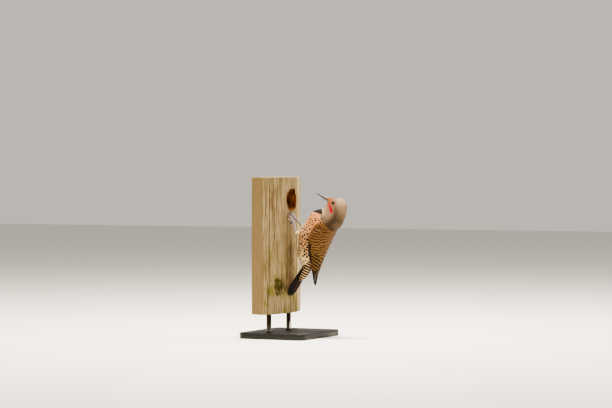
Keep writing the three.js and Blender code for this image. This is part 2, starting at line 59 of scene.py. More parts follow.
def make_camera():
    """The camera at the photograph's angle, far off with a long lens."""
    back = Vector((
        math.sin(CAMERA_TURN) * math.cos(CAMERA_RISE),
        -math.cos(CAMERA_TURN) * math.cos(CAMERA_RISE),
        math.sin(CAMERA_RISE),
    ))
    data = bpy.data.cameras.new("camera")
    data.sensor_width = SENSOR
    data.lens = SENSOR * CAMERA_AWAY / FRAME_WIDTH
    data.clip_end = 50
    camera = bpy.data.objects.new("camera", data)
    camera.location = AIM + back * CAMERA_AWAY
    camera.rotation_euler = back.to_track_quat("Z", "Y").to_euler()
    bpy.context.scene.collection.objects.link(camera)
    bpy.context.scene.camera = camera


make_camera()


# ---- stations, as in the part's source
# Middle x and z, half depth, and half width as a share of the half depth.
TRUNK = [(47, 83, 14, 0.95), (57, 114, 32.5, 0.92), (69, 150, 41, 0.86), (86, 178, 38, 0.86)]
NECK = [(87, 178, 35, 0.84), (118, 197, 29.5, 0.74), (128.5, 218, 28, 0.62)]
HEAD = [(129, 217, 28.5, 0.58), (136, 227, 21, 0.66), (122.5, 233.5, 15.2, 0.84), (111.5, 241.5, 7.2, 0.9)]
THROAT = [(82, 200, 20.5, 0.95), (101, 211, 12.5, 0.95), (114.5, 223, 8, 0.95), (117, 236.5, 6.5, 1)]
BLEND = 6

# The wing's cone: x, z, radius, width share, and the angles it spans from the midline.
WING = np.array([
    (92, 184, 38, 0.92, 34, 62),
    (88, 176, 42, 0.92, 11, 78),
    (82, 165, 44, 0.92, 4, 86),
    (73, 148, 44, 0.92, 3, 90),
    (67, 118, 36, 0.92, 2, 88),
    (65, 88, 24.5, 0.95, 2, 82),
    (66.5, 58, 13, 1, 3, 76),
    (69.5, 36, 6, 1.1, 8, 72),
    (71.5, 28, 3.2, 1.1, 34, 56),
])

LEGS = {
    "left": {"side": -1, "hip": (52, 20, 158), "ankle": (26.5, 14, 161), "toes": (14, 6.5, 189)},
    "right": {"side": 1, "hip": (52, 18, 172), "ankle": (29, 13, 177), "toes": (14.5, 6.5, 195)},
}
THIGH_RADIUS = 9
ANKLE_RADIUS = 3.5
TARSUS_RADIUS = 2.1
TOE_RADIUS = 1.6
PALM_LENGTH = 3.4
TOES = [(-5, -9), (-4, 13), (2.5, 15.5), (10, 6)]  # each toe's tip: to the side and above the root
CLAW_REACH = 5.2
CLAW_ARCH = 0.8
TOE_CLEARANCE = 1.2
TOE_ARCH = 1.6

TAIL_LENGTH = 103
TAIL_LEAN = math.radians(32)
COVERT_LENGTH = 54
TAIL_TIP = np.array([3.0, 0.0, 1.0])
TAIL_ALONG = np.array([-math.sin(TAIL_LEAN), 0, -math.cos(TAIL_LEAN)])
TAIL_BACK = np.array([math.cos(TAIL_LEAN), 0, -math.sin(TAIL_LEAN)])
TAIL_ROOT = TAIL_TIP - TAIL_ALONG * TAIL_LENGTH
SIDEWAYS = np.array([0.0, 1.0, 0.0])

BILL_RISE = math.radians(28.5)
BILL_LENGTH = 39
BILL_DEPTH = 10.4
BILL_WIDTH = 9.6
BILL_SUNK = 5
BILL_ROOT = np.array([108.5, 0.0, 243.0])
BILL_ALONG = np.array([-math.cos(BILL_RISE), 0, math.sin(BILL_RISE)])
BILL_UP = np.array([math.sin(BILL_RISE), 0, math.cos(BILL_RISE)])

EYE_RADIUS = 5.2
EYE_AT = np.array([128.5, 10.4, 235.5])
EYE_OPENING = 3.9  # the radius of the eye that shows between the lids
LID_RISE = 0.25
POLE_RADIUS = 271


# ---- small mathematics
def between(a, b, t):
    return a + (b - a) * t


def ramp(value, low, high):
    """0 below low, 1 above high, and smooth between them."""
    t = np.clip((value - low) / (high - low), 0, 1)
    return t * t * (3 - 2 * t)


def unit(v):
    return v / np.maximum(np.linalg.norm(v, axis=-1, keepdims=True), 1e-9)


def toned(tint, amount, tone):
    """Tints with so much of a tone over each."""
    return tint + amount[..., None] * (tone - tint)


def colour(red, green, blue):
    """A linear colour from screen values of 0 to 255."""
    c = np.array([red, green, blue]) / 255
    return np.where(c < 0.04045, c / 12.92, ((c + 0.055) / 1.055) ** 2.4)


def lattice(cell, seed):
    """A steady random value of 0 to 1 for each whole-numbered place."""
    c = cell.astype(np.int64)
    n = c[..., 0] * 374761393 + c[..., 1] * 668265263 + c[..., 2] * 1274126177 + seed * 974634777
    n = (n ^ (n >> 13)) * 1274126177 & 0xFFFFFFFF
    return ((n ^ (n >> 16)) & 0xFFFF) / 65535


def cloud(p, seed=0):
    """Smooth noise of -1 to 1 at points p."""
    cell = np.floor(p)
    f = p - cell
    f = f * f * (3 - 2 * f)
    total = 0
    for corner in np.ndindex(2, 2, 2):
        share = np.prod([f[..., k] if corner[k] else 1 - f[..., k] for k in range(3)], axis=0)
        total = total + share * lattice(cell + np.array(corner), seed)
    return total * 2 - 1


def smooth_line(turns, many):
    """Points along a smooth line through the turns."""
    turns = np.asarray(turns, float)
    ends = np.concatenate([[2 * turns[0] - turns[1]], turns, [2 * turns[-1] - turns[-2]]])
    at = np.linspace(0, len(turns) - 1, many)
    i = np.minimum(at.astype(int), len(turns) - 2)
    f = (at - i)[:, None]
    a, b, c, d = (ends[i + k] for k in range(4))
    return (2 * b + (c - a) * f + (2 * a - 5 * b + 4 * c - d) * f**2 + (3 * b - a - 3 * c + d) * f**3) / 2


GAZE = unit(np.array([-0.22, 1.0, 0.1]))  # the right eye's axis


def off_gaze(p):
    """How far a point lies from the axis of the eye on its own side."""
    q = p * [1, 0, 1] + np.abs(p) * [0, 1, 0] - EYE_AT
    depth = q @ GAZE
    off = np.linalg.norm(q - depth[:, None] * GAZE, axis=1)
    return np.where(depth > 0, off, 99)


# ---- the field of the dressed body
def softer(a, b, reach):
    """The lesser of two distances, rounded where they are alike."""
    near = np.maximum(reach - np.abs(a - b), 0) / reach
    return np.minimum(a, b) - near * near * reach / 4


def limb_field(stations, p):
    """The distance from a round limb in the plane of symmetry."""
    nearest = None
    for a, b in zip(stations, stations[1:]):
        dx, dz = b[0] - a[0], b[1] - a[1]
        t = np.clip(((p[:, 0] - a[0]) * dx + (p[:, 2] - a[1]) * dz) / (dx * dx + dz * dz), 0, 1)
        flat = p[:, 1] / between(a[3], b[3], t)
        away = np.sqrt((p[:, 0] - a[0] - dx * t) ** 2 + flat**2 + (p[:, 2] - a[1] - dz * t) ** 2)
        away = away - between(a[2], b[2], t)
        nearest = away if nearest is None else softer(nearest, away, BLEND / 2)
    return nearest


def leg_points(leg):
    """The hip, the ankle and the root of the toes of a leg, on its own side."""
    return [np.array(leg[name], float) * [1, leg["side"], 1] for name in ("hip", "ankle", "toes")]


def thigh_field(leg, p):
    """The distance from a thigh, which narrows to the ankle."""
    hip, ankle, _ = leg_points(leg)
    along = ankle - hip
    t = np.clip((p - hip) @ along / (along @ along), 0, 1)
    radius = between(THIGH_RADIUS, ANKLE_RADIUS, t * t)
    return np.linalg.norm(p - hip - t[:, None] * along, axis=1) - radius


def tail_field(p):
    """The tail's root under its coverts: an oval tube that closes where the coverts end."""
    q = p - TAIL_ROOT
    along = q @ TAIL_ALONG
    back = q @ TAIL_BACK
    t = np.clip((along + 8) / (COVERT_LENGTH + 8), 0, 1)
    close = np.sqrt(np.maximum(0.04, 1 - t**4))
    half = between(12, 16, np.minimum(1, 2 * t)) * close
    deep = np.where(back > 0, 12.5 * close, between(11, 5, t) * close)
    round_ = np.sqrt((p[:, 1] / half) ** 2 + (back / deep) ** 2)
    tube = (round_ - 1) * np.minimum(half, deep)
    ends = np.maximum(along - COVERT_LENGTH, -8 - along)
    return np.maximum(tube, ends)


def body_field(p):
    """The distance to the outline of the dressed head, neck, trunk, thighs and root of the tail."""
    f = limb_field(TRUNK, p)
    for stations in (NECK, HEAD, THROAT):
        f = softer(f, limb_field(stations, p), BLEND)
    for leg in LEGS.values():
        f = softer(f, thigh_field(leg, p), 4)
    lids = np.linalg.norm(p * [1, 0, 1] + np.abs(p) * [0, 1, 0] - EYE_AT, axis=1) - EYE_RADIUS - LID_RISE
    f = softer(f, lids, 3)
    return softer(f, tail_field(p), 5)


def slope(field, p, reach=0.4):
    """How fast the field rises along X, Y and Z."""
    step = np.eye(3) * reach
    return np.stack([(field(p + s) - field(p - s)) / (2 * reach) for s in step], axis=1)


def draw_on(field, p, height, turns=2):
    """Points moved along the slope until the field there is the height asked for."""
    for _ in range(turns):
        g = slope(field, p)
        steep = np.maximum((g * g).sum(1), 0.05)
        p = p - ((field(p) - height) / steep)[:, None] * g
    return p


def surface_net(field, low, high, step):
    """The surface where field is 0, as points and quads."""
    axes = [np.arange(a, b + step, step) for a, b in zip(low, high)]
    grid = np.stack(np.meshgrid(*axes, indexing="ij"), -1)
    inside = (field(grid.reshape(-1, 3)) < 0).reshape(grid.shape[:3])
    n = np.array(inside.shape) - 1
    count = sum(
        inside[i:i + n[0], j:j + n[1], k:k + n[2]].astype(int) for i, j, k in np.ndindex(2, 2, 2)
    )
    cells = np.argwhere((count > 0) & (count < 8))
    number = np.full(n, -1)
    number[tuple(cells.T)] = np.arange(len(cells))
    points = draw_on(field, np.array(low) + (cells + 0.5) * step, 0, 4)
    quads = []
    for axis in range(3):
        ahead, u, v = np.roll(np.eye(3, dtype=int), -axis, 0)
        core = inside[1:-1, 1:-1, 1:-1]
        ends = [slice(1 + a, m + a) for a, m in zip(ahead, n)]
        other = inside[tuple(ends)]
        for here in (True, False):
            at = np.argwhere((core == here) & (other != here)) + 1
            corners = [at, at - u, at - u - v, at - v]
            face = np.stack([number[tuple(c.T)] for c in corners], 1)
            quads.append(face if here else face[:, ::-1])
    return points, np.concatenate(quads)


# ---- the spine: where a place lies
SPINE_TURNS = np.array([
    (108.5, 243), (120, 232), (123.5, 215), (109, 196), (88, 177), (70, 148), (58, 114),
    (TAIL_ROOT[0] - 4, TAIL_ROOT[2]), (30, 48), (TAIL_TIP[0], TAIL_TIP[2]),
])


def spine_samples(turns, spacing=4.0):
    """Even places along a smooth line through the turns, with their directions and lengths."""
    place = smooth_line(turns, 40 * (len(turns) - 1) + 1)[:-1]
    length = np.concatenate([[0], np.cumsum(np.linalg.norm(np.diff(place, axis=0), axis=1))])
    at = np.arange(0, length[-1], spacing)
    even = np.stack([np.interp(at, length, place[:, k]) for k in (0, 1)], 1)
    return even, unit(np.gradient(even, axis=0)), at


SPINE, SPINE_ALONG, SPINE_AT = spine_samples(SPINE_TURNS)
SPINE_LENGTH = SPINE_AT[-1]
SPINE_BLEND = 6.0  # the stretch of the spine that a place is measured from, so that no step shows at a bend


def on_spine(p):
    """How far along the spine a point lies, and its angle from the bird's back, in degrees."""
    off = p[:, None, [0, 2]] - SPINE[None]
    apart = (off**2).sum(2)
    weight = np.exp(-(apart - apart.min(1, keepdims=True)) / (2 * SPINE_BLEND**2))
    weight = weight / weight.sum(1, keepdims=True)
    at = (weight * (SPINE_AT + (off * SPINE_ALONG).sum(2))).sum(1)
    away = (weight[:, :, None] * off).sum(1)
    along = weight @ SPINE_ALONG
    back = away[:, 1] * along[:, 0] - away[:, 0] * along[:, 1]
    return np.maximum(at, -8), np.degrees(np.arctan2(p[:, 1], back))


def lie_of_coat(p, normal):
    """The way that feathers point: away from the bill on the face, and down the spine after that."""
    apart = ((p[:, None, [0, 2]] - SPINE[None]) ** 2).sum(2)
    weight = np.exp(-(apart - apart.min(1, keepdims=True)) / (2 * 13.0**2))
    flat = (weight[:, :, None] * SPINE_ALONG[None]).sum(1)
    way = unit(np.stack([flat[:, 0], np.zeros(len(p)), flat[:, 1]], 1))
    from_bill = p - BILL_ROOT
    near = np.exp(-(from_bill**2).sum(1) / (2 * 22.0**2))[:, None]
    way = way * (1 - near) + unit(from_bill) * near
    for leg in LEGS.values():
        hip, ankle, _ = leg_points(leg)
        near = np.exp(-np.maximum(thigh_field(leg, p), 0) / 4)[:, None]
        near = near * ramp(60 - p[:, 0], 14, 24)[:, None]
        way = way * (1 - near) + unit(ankle - hip + np.array([0, 0, -8])) * near
    way = way - normal * (way * normal).sum(1, keepdims=True)
    return unit(way)


# ---- colours of the plumage
FOREHEAD = colour(156, 88, 40)
# the crown's brown, made paler as a painted highlight on the top of the head
CROWN_AND_HIGHLIGHT = colour(206, 176, 146)
FACE = colour(142, 117, 94)
THROAT_GREY = colour(172, 140, 108)
# the olive of the nape and lower neck, darkened further as painted shade
NAPE_AND_SHADE = colour(57, 42, 22)
RED = colour(184, 8, 38)
SOOT = colour(18, 14, 14)
BREAST = colour(198, 138, 92)
FLANK = colour(190, 146, 104)
BELLY = colour(220, 194, 148)
BACK = colour(128, 92, 54)
RUMP = colour(226, 208, 172)
THIGH = colour(216, 192, 156)
COVERT_WHITE = colour(196, 168, 126)
OCHRE = colour(124, 92, 44)
DARK_BAR = colour(19, 11, 7)
DARK_VANE = colour(40, 28, 20)
PALE_TIP = colour(150, 146, 130)
RED_SHAFT = colour(120, 50, 34)
TAIL_BLACK = colour(14, 10, 7)
SALMON = colour(206, 92, 66)

MALAR_TOP = np.array([113.5, 0, 237.0])
MALAR_END = np.array([125.0, 0, 213.0])


def malar(p):
    """How far a point of the side of the head lies within the red stripe, 1 inside it."""
    flat = p * np.array([1, 0, 1])
    along = MALAR_END - MALAR_TOP
    t = (flat - MALAR_TOP) @ along / (along @ along)
    bend = np.sin(np.pi * np.clip(t, 0, 1)) * 1.2
    off = (flat - MALAR_TOP - np.clip(t, 0, 1)[:, None] * along) @ np.array([along[2], 0, -along[0]])
    off = off / np.linalg.norm(along) + bend
    half = between(1.7, 3.9, np.clip(t, 0, 1) ** 0.8)
    ends = ramp(t, -0.04, 0.02) * (1 - ramp(t, 0.97, 1.06))
    return ends * (1 - ramp(np.abs(off), half - 0.6, half + 0.4))


def coat_colour(p):
    """The ground colour of the plumage at points of the body, before its spots and bars, with painted shade
    on the nape and lower neck and a painted highlight on the crown.
    """
    at, turn = on_spine(p)
    side = np.abs(turn)
    patch = cloud(p / 9, 3) * 0.5 + cloud(p / 4, 4) * 0.5
    top = 1 - ramp(side, 22, 60)
    c = np.tile(FACE, (len(p), 1))

    def blend(amount, tone):
        nonlocal c
        c = toned(c, np.clip(amount, 0, 1), tone)

    from_bill = np.linalg.norm(p - BILL_ROOT, axis=1)
    to_eye = np.linalg.norm((p - EYE_AT) * np.array([1, 0, 1]), axis=1)
    # the top of the head paler: partly the crown's colour, partly painted highlight
    blend(top * ramp(at, 8, 30), CROWN_AND_HIGHLIGHT)
    blend((1 - ramp(from_bill, 10, 24)) * (1 - ramp(side, 78, 108)), FOREHEAD)
    blend((1 - ramp(to_eye, 6, 12)) * (1 - ramp(side, 80, 110)) * 0.35, FOREHEAD)
    blend(ramp(side, 110, 150), THROAT_GREY)
    # the nape and lower neck darken: partly their own olive, partly painted shade
    blend(ramp(at + patch * 2, 14, 44) * (1 - ramp(side, 46, 82)) * 0.85, NAPE_AND_SHADE)
    blend(ramp(at + patch * 4, 46, 66) * (1 - ramp(side, 100, 128)) * 0.5, NAPE_AND_SHADE)
    trunk = ramp(at, neck_end(side) - 1.5, neck_end(side) + 1.5)
    under = ramp(side, upper_edge(at) - 6, upper_edge(at) + 4)
    blend(trunk * under, BREAST)
    blend(trunk * under * ramp(at, 78, 118), FLANK)
    blend(trunk * under * ramp(at + patch * 8, 132, 178), BELLY)
    blend(trunk * ramp(side, 135, 165) * ramp(at, 100, 130), BELLY)
    blend(trunk * (1 - under), BACK)
    blend((1 - under) * ramp(at, 168, 180), RUMP)
    blend(on_thighs(p) * ramp(40 - p[:, 0], -6, 6), THIGH)
    blend(bib(p), SOOT)
    blend(malar(p) * (1 - ramp(side, 150, 170)), RED)
    return c * (1 + 0.05 * patch)[:, None]


def neck_end(side):
    """How far along the spine the grey of the neck ends, side degrees round from the back."""
    return 66 - 6 * ramp(side, 95, 135)


def upper_edge(at):
    """How many degrees round from the back the brown reaches, at a place along the spine."""
    return 84 + 13 * ramp(at, 68, 78) - 29 * ramp(at, 108, 132)


BIB_AT = np.array([78.5, 0, 216.0])
BIB_HALF_WIDTH = 19.5
BIB_HALF_LENGTH = 14
BIB_DOWN = unit(np.array([-0.84, 0, -0.54]))


def bib(p):
    """The black crescent across the upper breast: 1 inside it."""
    _, turn = on_spine(p)
    q = p - BIB_AT
    across = np.abs(p[:, 1])
    along = q @ BIB_DOWN
    middle = -0.03 * across**2  # the horns of the crescent run up towards the neck
    half = BIB_HALF_LENGTH * np.sqrt(np.clip(1 - (across / BIB_HALF_WIDTH) ** 2, 0, 1))
    inside = 1 - ramp(np.abs(along - middle), half - 1.2, half + 0.8)
    return inside * (np.abs(turn) > 80) * (half > 0) * (np.linalg.norm(q, axis=1) < 32)


# ---- materials
class Graph:
    """A material and short ways of adding nodes to it."""

    def __init__(self, name):
        self.material = bpy.data.materials.new(name)
        self.material.use_nodes = True
        self.nodes = self.material.node_tree.nodes
        self.links = self.material.node_tree.links
        self.shader = self.nodes["Principled BSDF"]

    def add(self, kind, output=0, inputs=None, **settings):
        node = self.nodes.new(kind)
        for key, value in settings.items():
            setattr(node, key, value)
        for key, value in (inputs or {}).items():
            self.set(node.inputs[key], value)
        return node.outputs[output]

    def set(self, socket, value):
        if isinstance(value, bpy.types.NodeSocket):
            self.links.new(value, socket)
        elif isinstance(value, np.ndarray):
            socket.default_value = (*value.tolist(), 1.0)
        else:
            socket.default_value = value

    def math(self, operation, a, b=0.0):
        return self.add("ShaderNodeMath", inputs={0: a, 1: b}, operation=operation)

    def plus(self, a, b):
        return self.math("ADD", a, b)

    def less(self, a, b):
        return self.math("SUBTRACT", a, b)

    def times(self, a, b):
        return self.math("MULTIPLY", a, b)

    def swing(self, noise, reach):
        """A noise of 0 to 1 as one about 0, over the reach."""
        return self.times(self.less(noise, 0.5), reach)

    def mix(self, amount, a, b, blend="MIX"):
        node = self.nodes.new("ShaderNodeMix")
        node.data_type = "RGBA"
        node.blend_type = blend
        self.set(node.inputs[0], amount)
        self.set(node.inputs[6], a)
        self.set(node.inputs[7], b)
        return node.outputs[2]

    def attribute(self, name, output="Color"):
        return self.add("ShaderNodeAttribute", output, attribute_name=name)

    def place(self):
        return self.add("ShaderNodeTexCoord", "Object")

    def parts(self, vector):
        """The three numbers of a vector, or of the mesh's attribute of that name."""
        if isinstance(vector, str):
            vector = self.attribute(vector, "Vector")
        return self.add("ShaderNodeSeparateXYZ", inputs={0: vector}).node.outputs

    def noise(self, scale, detail=3.0, stretch=None, vector=None):
        if vector is None:
            vector = self.place()
        if stretch is not None:
            vector = self.add("ShaderNodeVectorMath", inputs={0: vector, 1: stretch}, operation="MULTIPLY")
        inputs = {"Vector": vector, "Scale": scale, "Detail": detail}
        return self.add("ShaderNodeTexNoise", "Fac", inputs)

    def smooth(self, value, low, high, to_low=0.0, to_high=1.0):
        inputs = {"Value": value, "From Min": low, "From Max": high, "To Min": to_low, "To Max": to_high}
        return self.add("ShaderNodeMapRange", inputs=inputs, interpolation_type="SMOOTHSTEP")

    def layer(self, base, value, low, high, most, tone):
        """The base under a tone that covers up to most of it as the value goes from low to high."""
        return self.mix(self.smooth(value, low, high, 0.0, most), base, tone)

    def bump(self, height, strength, distance=0.0005):
        inputs = {"Height": height, "Strength": strength, "Distance": distance}
        self.set(self.shader.inputs["Normal"], self.add("ShaderNodeBump", inputs=inputs))

    def finish(self, base, roughness, **fixed):
        self.set(self.shader.inputs["Base Color"], base)
        self.set(self.shader.inputs["Roughness"], roughness)
        for key, value in fixed.items():
            self.shader.inputs[key.replace("_", " ")].default_value = value
        return self.material


def plumage_material(name, shine):
    """Feathers: a tint, crossbars and a round spot from the mesh, with fine barbs along each vane."""
    g = Graph(name)
    across, along, _ = g.parts(g.add("ShaderNodeUVMap", uv_map="Vane"))
    phase, duty, strength = g.parts("Bars")
    spot = g.parts("Spot")
    rough_edge = g.noise(260.0, 2.0)
    wave = g.math("PINGPONG", g.plus(phase, g.swing(rough_edge, 0.22)), 0.5)
    edge = g.less(1.0, duty)
    barred = g.smooth(g.times(wave, 2.0), g.less(edge, 0.07), g.plus(edge, 0.07))
    barred = g.times(barred, strength)
    square = g.plus(g.times(spot[0], spot[0]), g.times(spot[1], spot[1]))
    square = g.plus(square, g.swing(rough_edge, 0.5))
    spotted = g.times(g.smooth(square, 0.8, 1.15, 1.0, 0.0), spot[2])
    off_shaft = g.math("ABSOLUTE", g.less(across, 0.5))
    barb = g.math("SINE", g.times(g.less(along, g.times(off_shaft, 0.7)), 240.0))
    height = g.parts(g.place())[2]
    lengthwise = {0: g.times(across, 16.0), 1: g.times(along, 1.4), 2: g.times(height, 260.0)}
    streak = g.noise(1.0, 2.0, None, g.add("ShaderNodeCombineXYZ", inputs=lengthwise))
    tone = g.plus(g.plus(0.78, g.times(streak, 0.44)), g.times(barb, 0.03))
    tint = g.mix(1.0, g.attribute("Tint"), tone, "MULTIPLY")
    base = g.mix(g.math("MAXIMUM", barred, spotted), tint, DARK_BAR)
    g.bump(g.plus(g.times(barb, 0.3), streak), 0.3, 0.0003)
    return g.finish(base, 0.78, Sheen_Weight=shine / 3, Sheen_Roughness=0.5, Specular_IOR_Level=shine)


PLUMAGE = plumage_material("plumage", 0.3)
TAIL_PLUMAGE = plumage_material("tail_plumage", 0.12)


# ---- making pieces
def make_piece(name, points, faces, material, slot, replaces=(),
               bake=None, vane=None, normals=None, **marks):
    """A mesh from points in millimetres above the tail tip, riding on the bird's one body."""
    mesh = bpy.data.meshes.new(name)
    place = (np.asarray(points) + np.array([0, 0, TAIL_LEVEL])) * MM
    corners = faces.shape[1]
    mesh.vertices.add(len(place))
    mesh.vertices.foreach_set("co", place.astype(np.float32).ravel())
    mesh.loops.add(faces.size)
    mesh.loops.foreach_set("vertex_index", faces.astype(np.int32).ravel())
    mesh.polygons.add(len(faces))
    mesh.polygons.foreach_set("loop_start", np.arange(0, faces.size, corners, dtype=np.int32))
    mesh.polygons.foreach_set("loop_total", np.full(len(faces), corners, np.int32))
    for key, uv in (("Vane", vane), ("OFBake", bake)):
        if uv is not None:
            layer = mesh.uv_layers.new(name=key)
            loops = uv if len(uv) == faces.size else uv[faces.ravel()]
            layer.data.foreach_set("uv", loops.astype(np.float32).ravel())
    for key, values in marks.items():
        kind, field = ("FLOAT_VECTOR", "vector")
        if key == "Tint":
            kind, field = ("FLOAT_COLOR", "color")
            values = np.concatenate([np.clip(values, 0, 1), np.ones((len(values), 1))], 1)
        layer = mesh.attributes.new(key, kind, "POINT")
        layer.data.foreach_set(field, values.astype(np.float32).ravel())
    mesh.update(calc_edges=True)
    mesh.validate()
    mesh.shade_smooth()
    if normals is not None:
        mesh.normals_split_custom_set(normals.astype(np.float32))
    mesh.materials.append(material)
    piece = bpy.data.objects.new(name, mesh)
    bpy.context.scene.collection.objects.link(piece)
    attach(piece, "root")
    if replaces:
        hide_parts(*replaces)
    return piece


def unwrap(p, low=-10.0, high=SPINE_LENGTH):
    """A place on the unwrapped stretch of the body from low to high: round the spine, and along it."""
    at, turn = on_spine(p)
    return np.stack([0.5 + turn / 360 * 0.94, 0.02 + 0.96 * (at - low) / (high - low)], 1)


# ---- skin
# How deep the coat lies over the skin.
FACE_DEPTH = 0.9
TRUNK_DEPTH = 3.6
THIGH_DEPTH = 1.6
SOCKET_DEPTH = 2.6  # how much deeper the skin lies under the eye


def coat_depth(p):
    """How deep the feathers lie over the skin."""
    at, _ = on_spine(p)
    deep = between(FACE_DEPTH, TRUNK_DEPTH, ramp(at, 2, 95))
    deep = between(deep, THIGH_DEPTH, on_thighs(p))
    return deep + SOCKET_DEPTH * (1 - ramp(off_gaze(p), EYE_OPENING - 0.2, EYE_OPENING + 1.4))


def on_thighs(p):
    """1 on the thighs, falling to 0 on the trunk."""
    near = np.zeros(len(p))
    for leg in LEGS.values():
        near = np.maximum(near, (1 - ramp(thigh_field(leg, p), -1, 3)) * ramp(60 - p[:, 0], 12, 24))
    return near


def skin_field(p):
    """The distance to the skin, inside the dressed outline by the coat's depth."""
    return body_field(p) + coat_depth(p)


SKIN_STEP = 2.0
SKIN_LOW = (-2, -46, 40)
SKIN_HIGH = (164, 46, 266)
skin_points, skin_quads = surface_net(skin_field, SKIN_LOW, SKIN_HIGH, SKIN_STEP)


def make_skin():
    """One skin under all the feathers, with the same markings."""
    uv = unwrap(skin_points)[skin_quads]
    wraps = (uv[:, :, 0].max(1) - uv[:, :, 0].min(1)) > 0.5
    uv[wraps, :, 0] = np.where(uv[wraps, :, 0] < 0.5, uv[wraps, :, 0] + 0.94, uv[wraps, :, 0])
    uv[:, :, 0] = np.clip(uv[:, :, 0], 0, 1)
    still = np.zeros((len(skin_points), 3))
    vane = np.stack([skin_points[:, 0], skin_points[:, 2]], 1) / 40
    replaced = ("head", "neck", "trunk", "thigh_left", "thigh_right")
    # the coat's colours darkened by a quarter: painted shade under the feathers
    tint = coat_colour(skin_points) * 0.75
    make_piece("skin", skin_points, skin_quads, PLUMAGE, "plumage_body", replaced,
               bake=uv.reshape(-1, 2), vane=vane, Tint=tint, Bars=still, Spot=still)


make_skin()


# ---- vanes
def vane_shape(rows, columns):
    """A thin closed vane: along (0 to 1), across (-1 to 1), and whether a point is underneath."""
    wide = 2 * columns + 1
    s, t = np.meshgrid(np.linspace(0, 1, rows + 1), np.linspace(-1, 1, wide), indexing="ij")
    top = (rows + 1) * wide
    s = np.concatenate([s.ravel(), np.arange(1, rows) / rows])
    t = np.concatenate([t.ravel(), np.zeros(rows - 1)])
    under = np.arange(len(s)) >= top
    at = lambda i, j: i * wide + j
    below = lambda i: top + i - 1
    last = wide - 1
    faces = []
    for i in range(rows):
        for j in range(last):
            a, b, c, d = at(i, j), at(i, j + 1), at(i + 1, j + 1), at(i + 1, j)
            faces += [(a, d, c), (a, c, b)]
    for i in range(1, rows - 1):
        a, b, c, d = at(i, 0), below(i), below(i + 1), at(i + 1, 0)
        faces += [(a, b, c), (a, c, d)]
        a, b, c, d = below(i), at(i, last), at(i + 1, last), below(i + 1)
        faces += [(a, b, c), (a, c, d)]
    for i, m, flip in ((0, 1, False), (rows, rows - 1, True)):
        fan = [(at(i, j), at(i, j + 1)) for j in range(last)]
        ends = [(at(i, last), at(m, last)), (at(m, 0), at(i, 0))]
        for a, b in fan + ends:
            faces.append((b, a, below(m)) if flip else (a, b, below(m)))
    return s, t, under, np.array(faces)


def contour_outline(s, t, rng, ragged, tip=0.5, blunt=1.28):
    """The outline of a soft body feather: broad, round at its tip, with loose barbs round the edge."""
    base = np.sqrt(np.clip(1 - (1 - np.minimum(s / 0.35, 1)) ** 2, 0.06, 1))
    end = np.sqrt(np.clip(1 - (np.maximum(s - tip, 0) / (blunt - tip)) ** 2, 0.05, 1))
    edge = np.abs(t) > 0.99
    half = base * end * np.where(edge, 1 - rng.uniform(0, 0.3, len(s)) * ragged, 1)
    columns = (len(np.unique(np.round(t, 6))) - 1) // 2
    notch = (np.round(t * columns) % 2) * ~edge  # between the tips of two barbs
    along = s - 0.15 * s**2 * t**2
    rows = len(np.unique(np.round(s, 6))) - 1
    deep = min(ragged, 0.62 / rows) * (1 - 0.65 * t**2)
    barbs = deep * (notch * rng.uniform(0.7, 1.1, len(s)) + rng.uniform(0, 0.35, len(s)) * ~edge)
    return along - np.where(s > 0.99, barbs, 0), half * t


ON_SHAFT = 0.05  # across a vane, how near its middle the shaft lies


def vane_map(across, s, many):
    """The map on each of many feathers: across it and along it, both 0 to 1."""
    return np.broadcast_to(np.stack([across * 0.5 + 0.5, s], 1), (many, len(s), 2))


COAT_SHARE = 0.7  # of a feather's normals, how much is the coat's, so that barbs shade as one soft coat


def soft_normals(points, faces, under, coat_normal):
    """The normals of feathers' corners: on top, between the vane's own and those of the whole coat."""
    corner = points[:, faces]
    flat = np.cross(corner[:, :, 1] - corner[:, :, 0], corner[:, :, 2] - corner[:, :, 0])
    top = ~under[faces].any(1)
    own = np.zeros(points.shape)
    for number in np.flatnonzero(top):
        for place in faces[number]:
            own[:, place] += flat[:, number]
    mixed = unit((1 - COAT_SHARE) * unit(own) + COAT_SHARE * coat_normal)
    below = np.broadcast_to(unit(flat)[:, :, None], corner.shape)
    return np.where(top[None, :, None, None], mixed[:, faces], below)


class Coat:
    """Collects vanes, and makes them into pieces of one mesh each."""

    def __init__(self):
        self.points, self.faces, self.vane, self.bake, self.normals = [], [], [], [], []
        self.marks = {"Tint": [], "Bars": [], "Spot": []}
        self.count = 0

    def add(self, points, faces, under, coat_normal, vane, bake, tint, bars=None, spot=None):
        """points is (feathers, points of one feather, 3), and the rest matches it."""
        many, each = points.shape[:2]
        self.normals.append(soft_normals(points, faces, under, coat_normal).reshape(-1, 3))
        self.points.append(points.reshape(-1, 3))
        shift = self.count + np.arange(many)[:, None, None] * each
        self.faces.append((faces[None] + shift).reshape(-1, 3))
        self.vane.append(vane.reshape(-1, 2))
        self.bake.append(bake.reshape(-1, 2))
        plain = np.zeros(points.shape)
        for key, values in zip(self.marks, (tint, bars, spot)):
            self.marks[key].append((plain if values is None else values).reshape(-1, 3))
        self.count += many * each

    def make(self, name, slot, replaces=(), material=PLUMAGE):
        marks = {key: np.concatenate(values) for key, values in self.marks.items()}
        return make_piece(name, np.concatenate(self.points), np.concatenate(self.faces), material, slot,
                          replaces, bake=np.concatenate(self.bake), vane=np.concatenate(self.vane),
                          normals=np.concatenate(self.normals), **marks)


def tree_of(places):
    """A search tree of places, numbered in their order."""
    tree = KDTree(len(places))
    for number, place in enumerate(places):
        tree.insert(place, number)
    tree.balance()
    return tree


def spread_out(places, gap, order):
    """Which places stay if they are taken in this order, and each one taken frees its gap of others."""
    tree = tree_of(places)
    free = np.isfinite(gap)
    kept = []
    for i in order:
        if free[i]:
            kept.append(i)
            for _, j, _ in tree.find_range(places[i], gap[i]):
                free[j] = False
    return kept


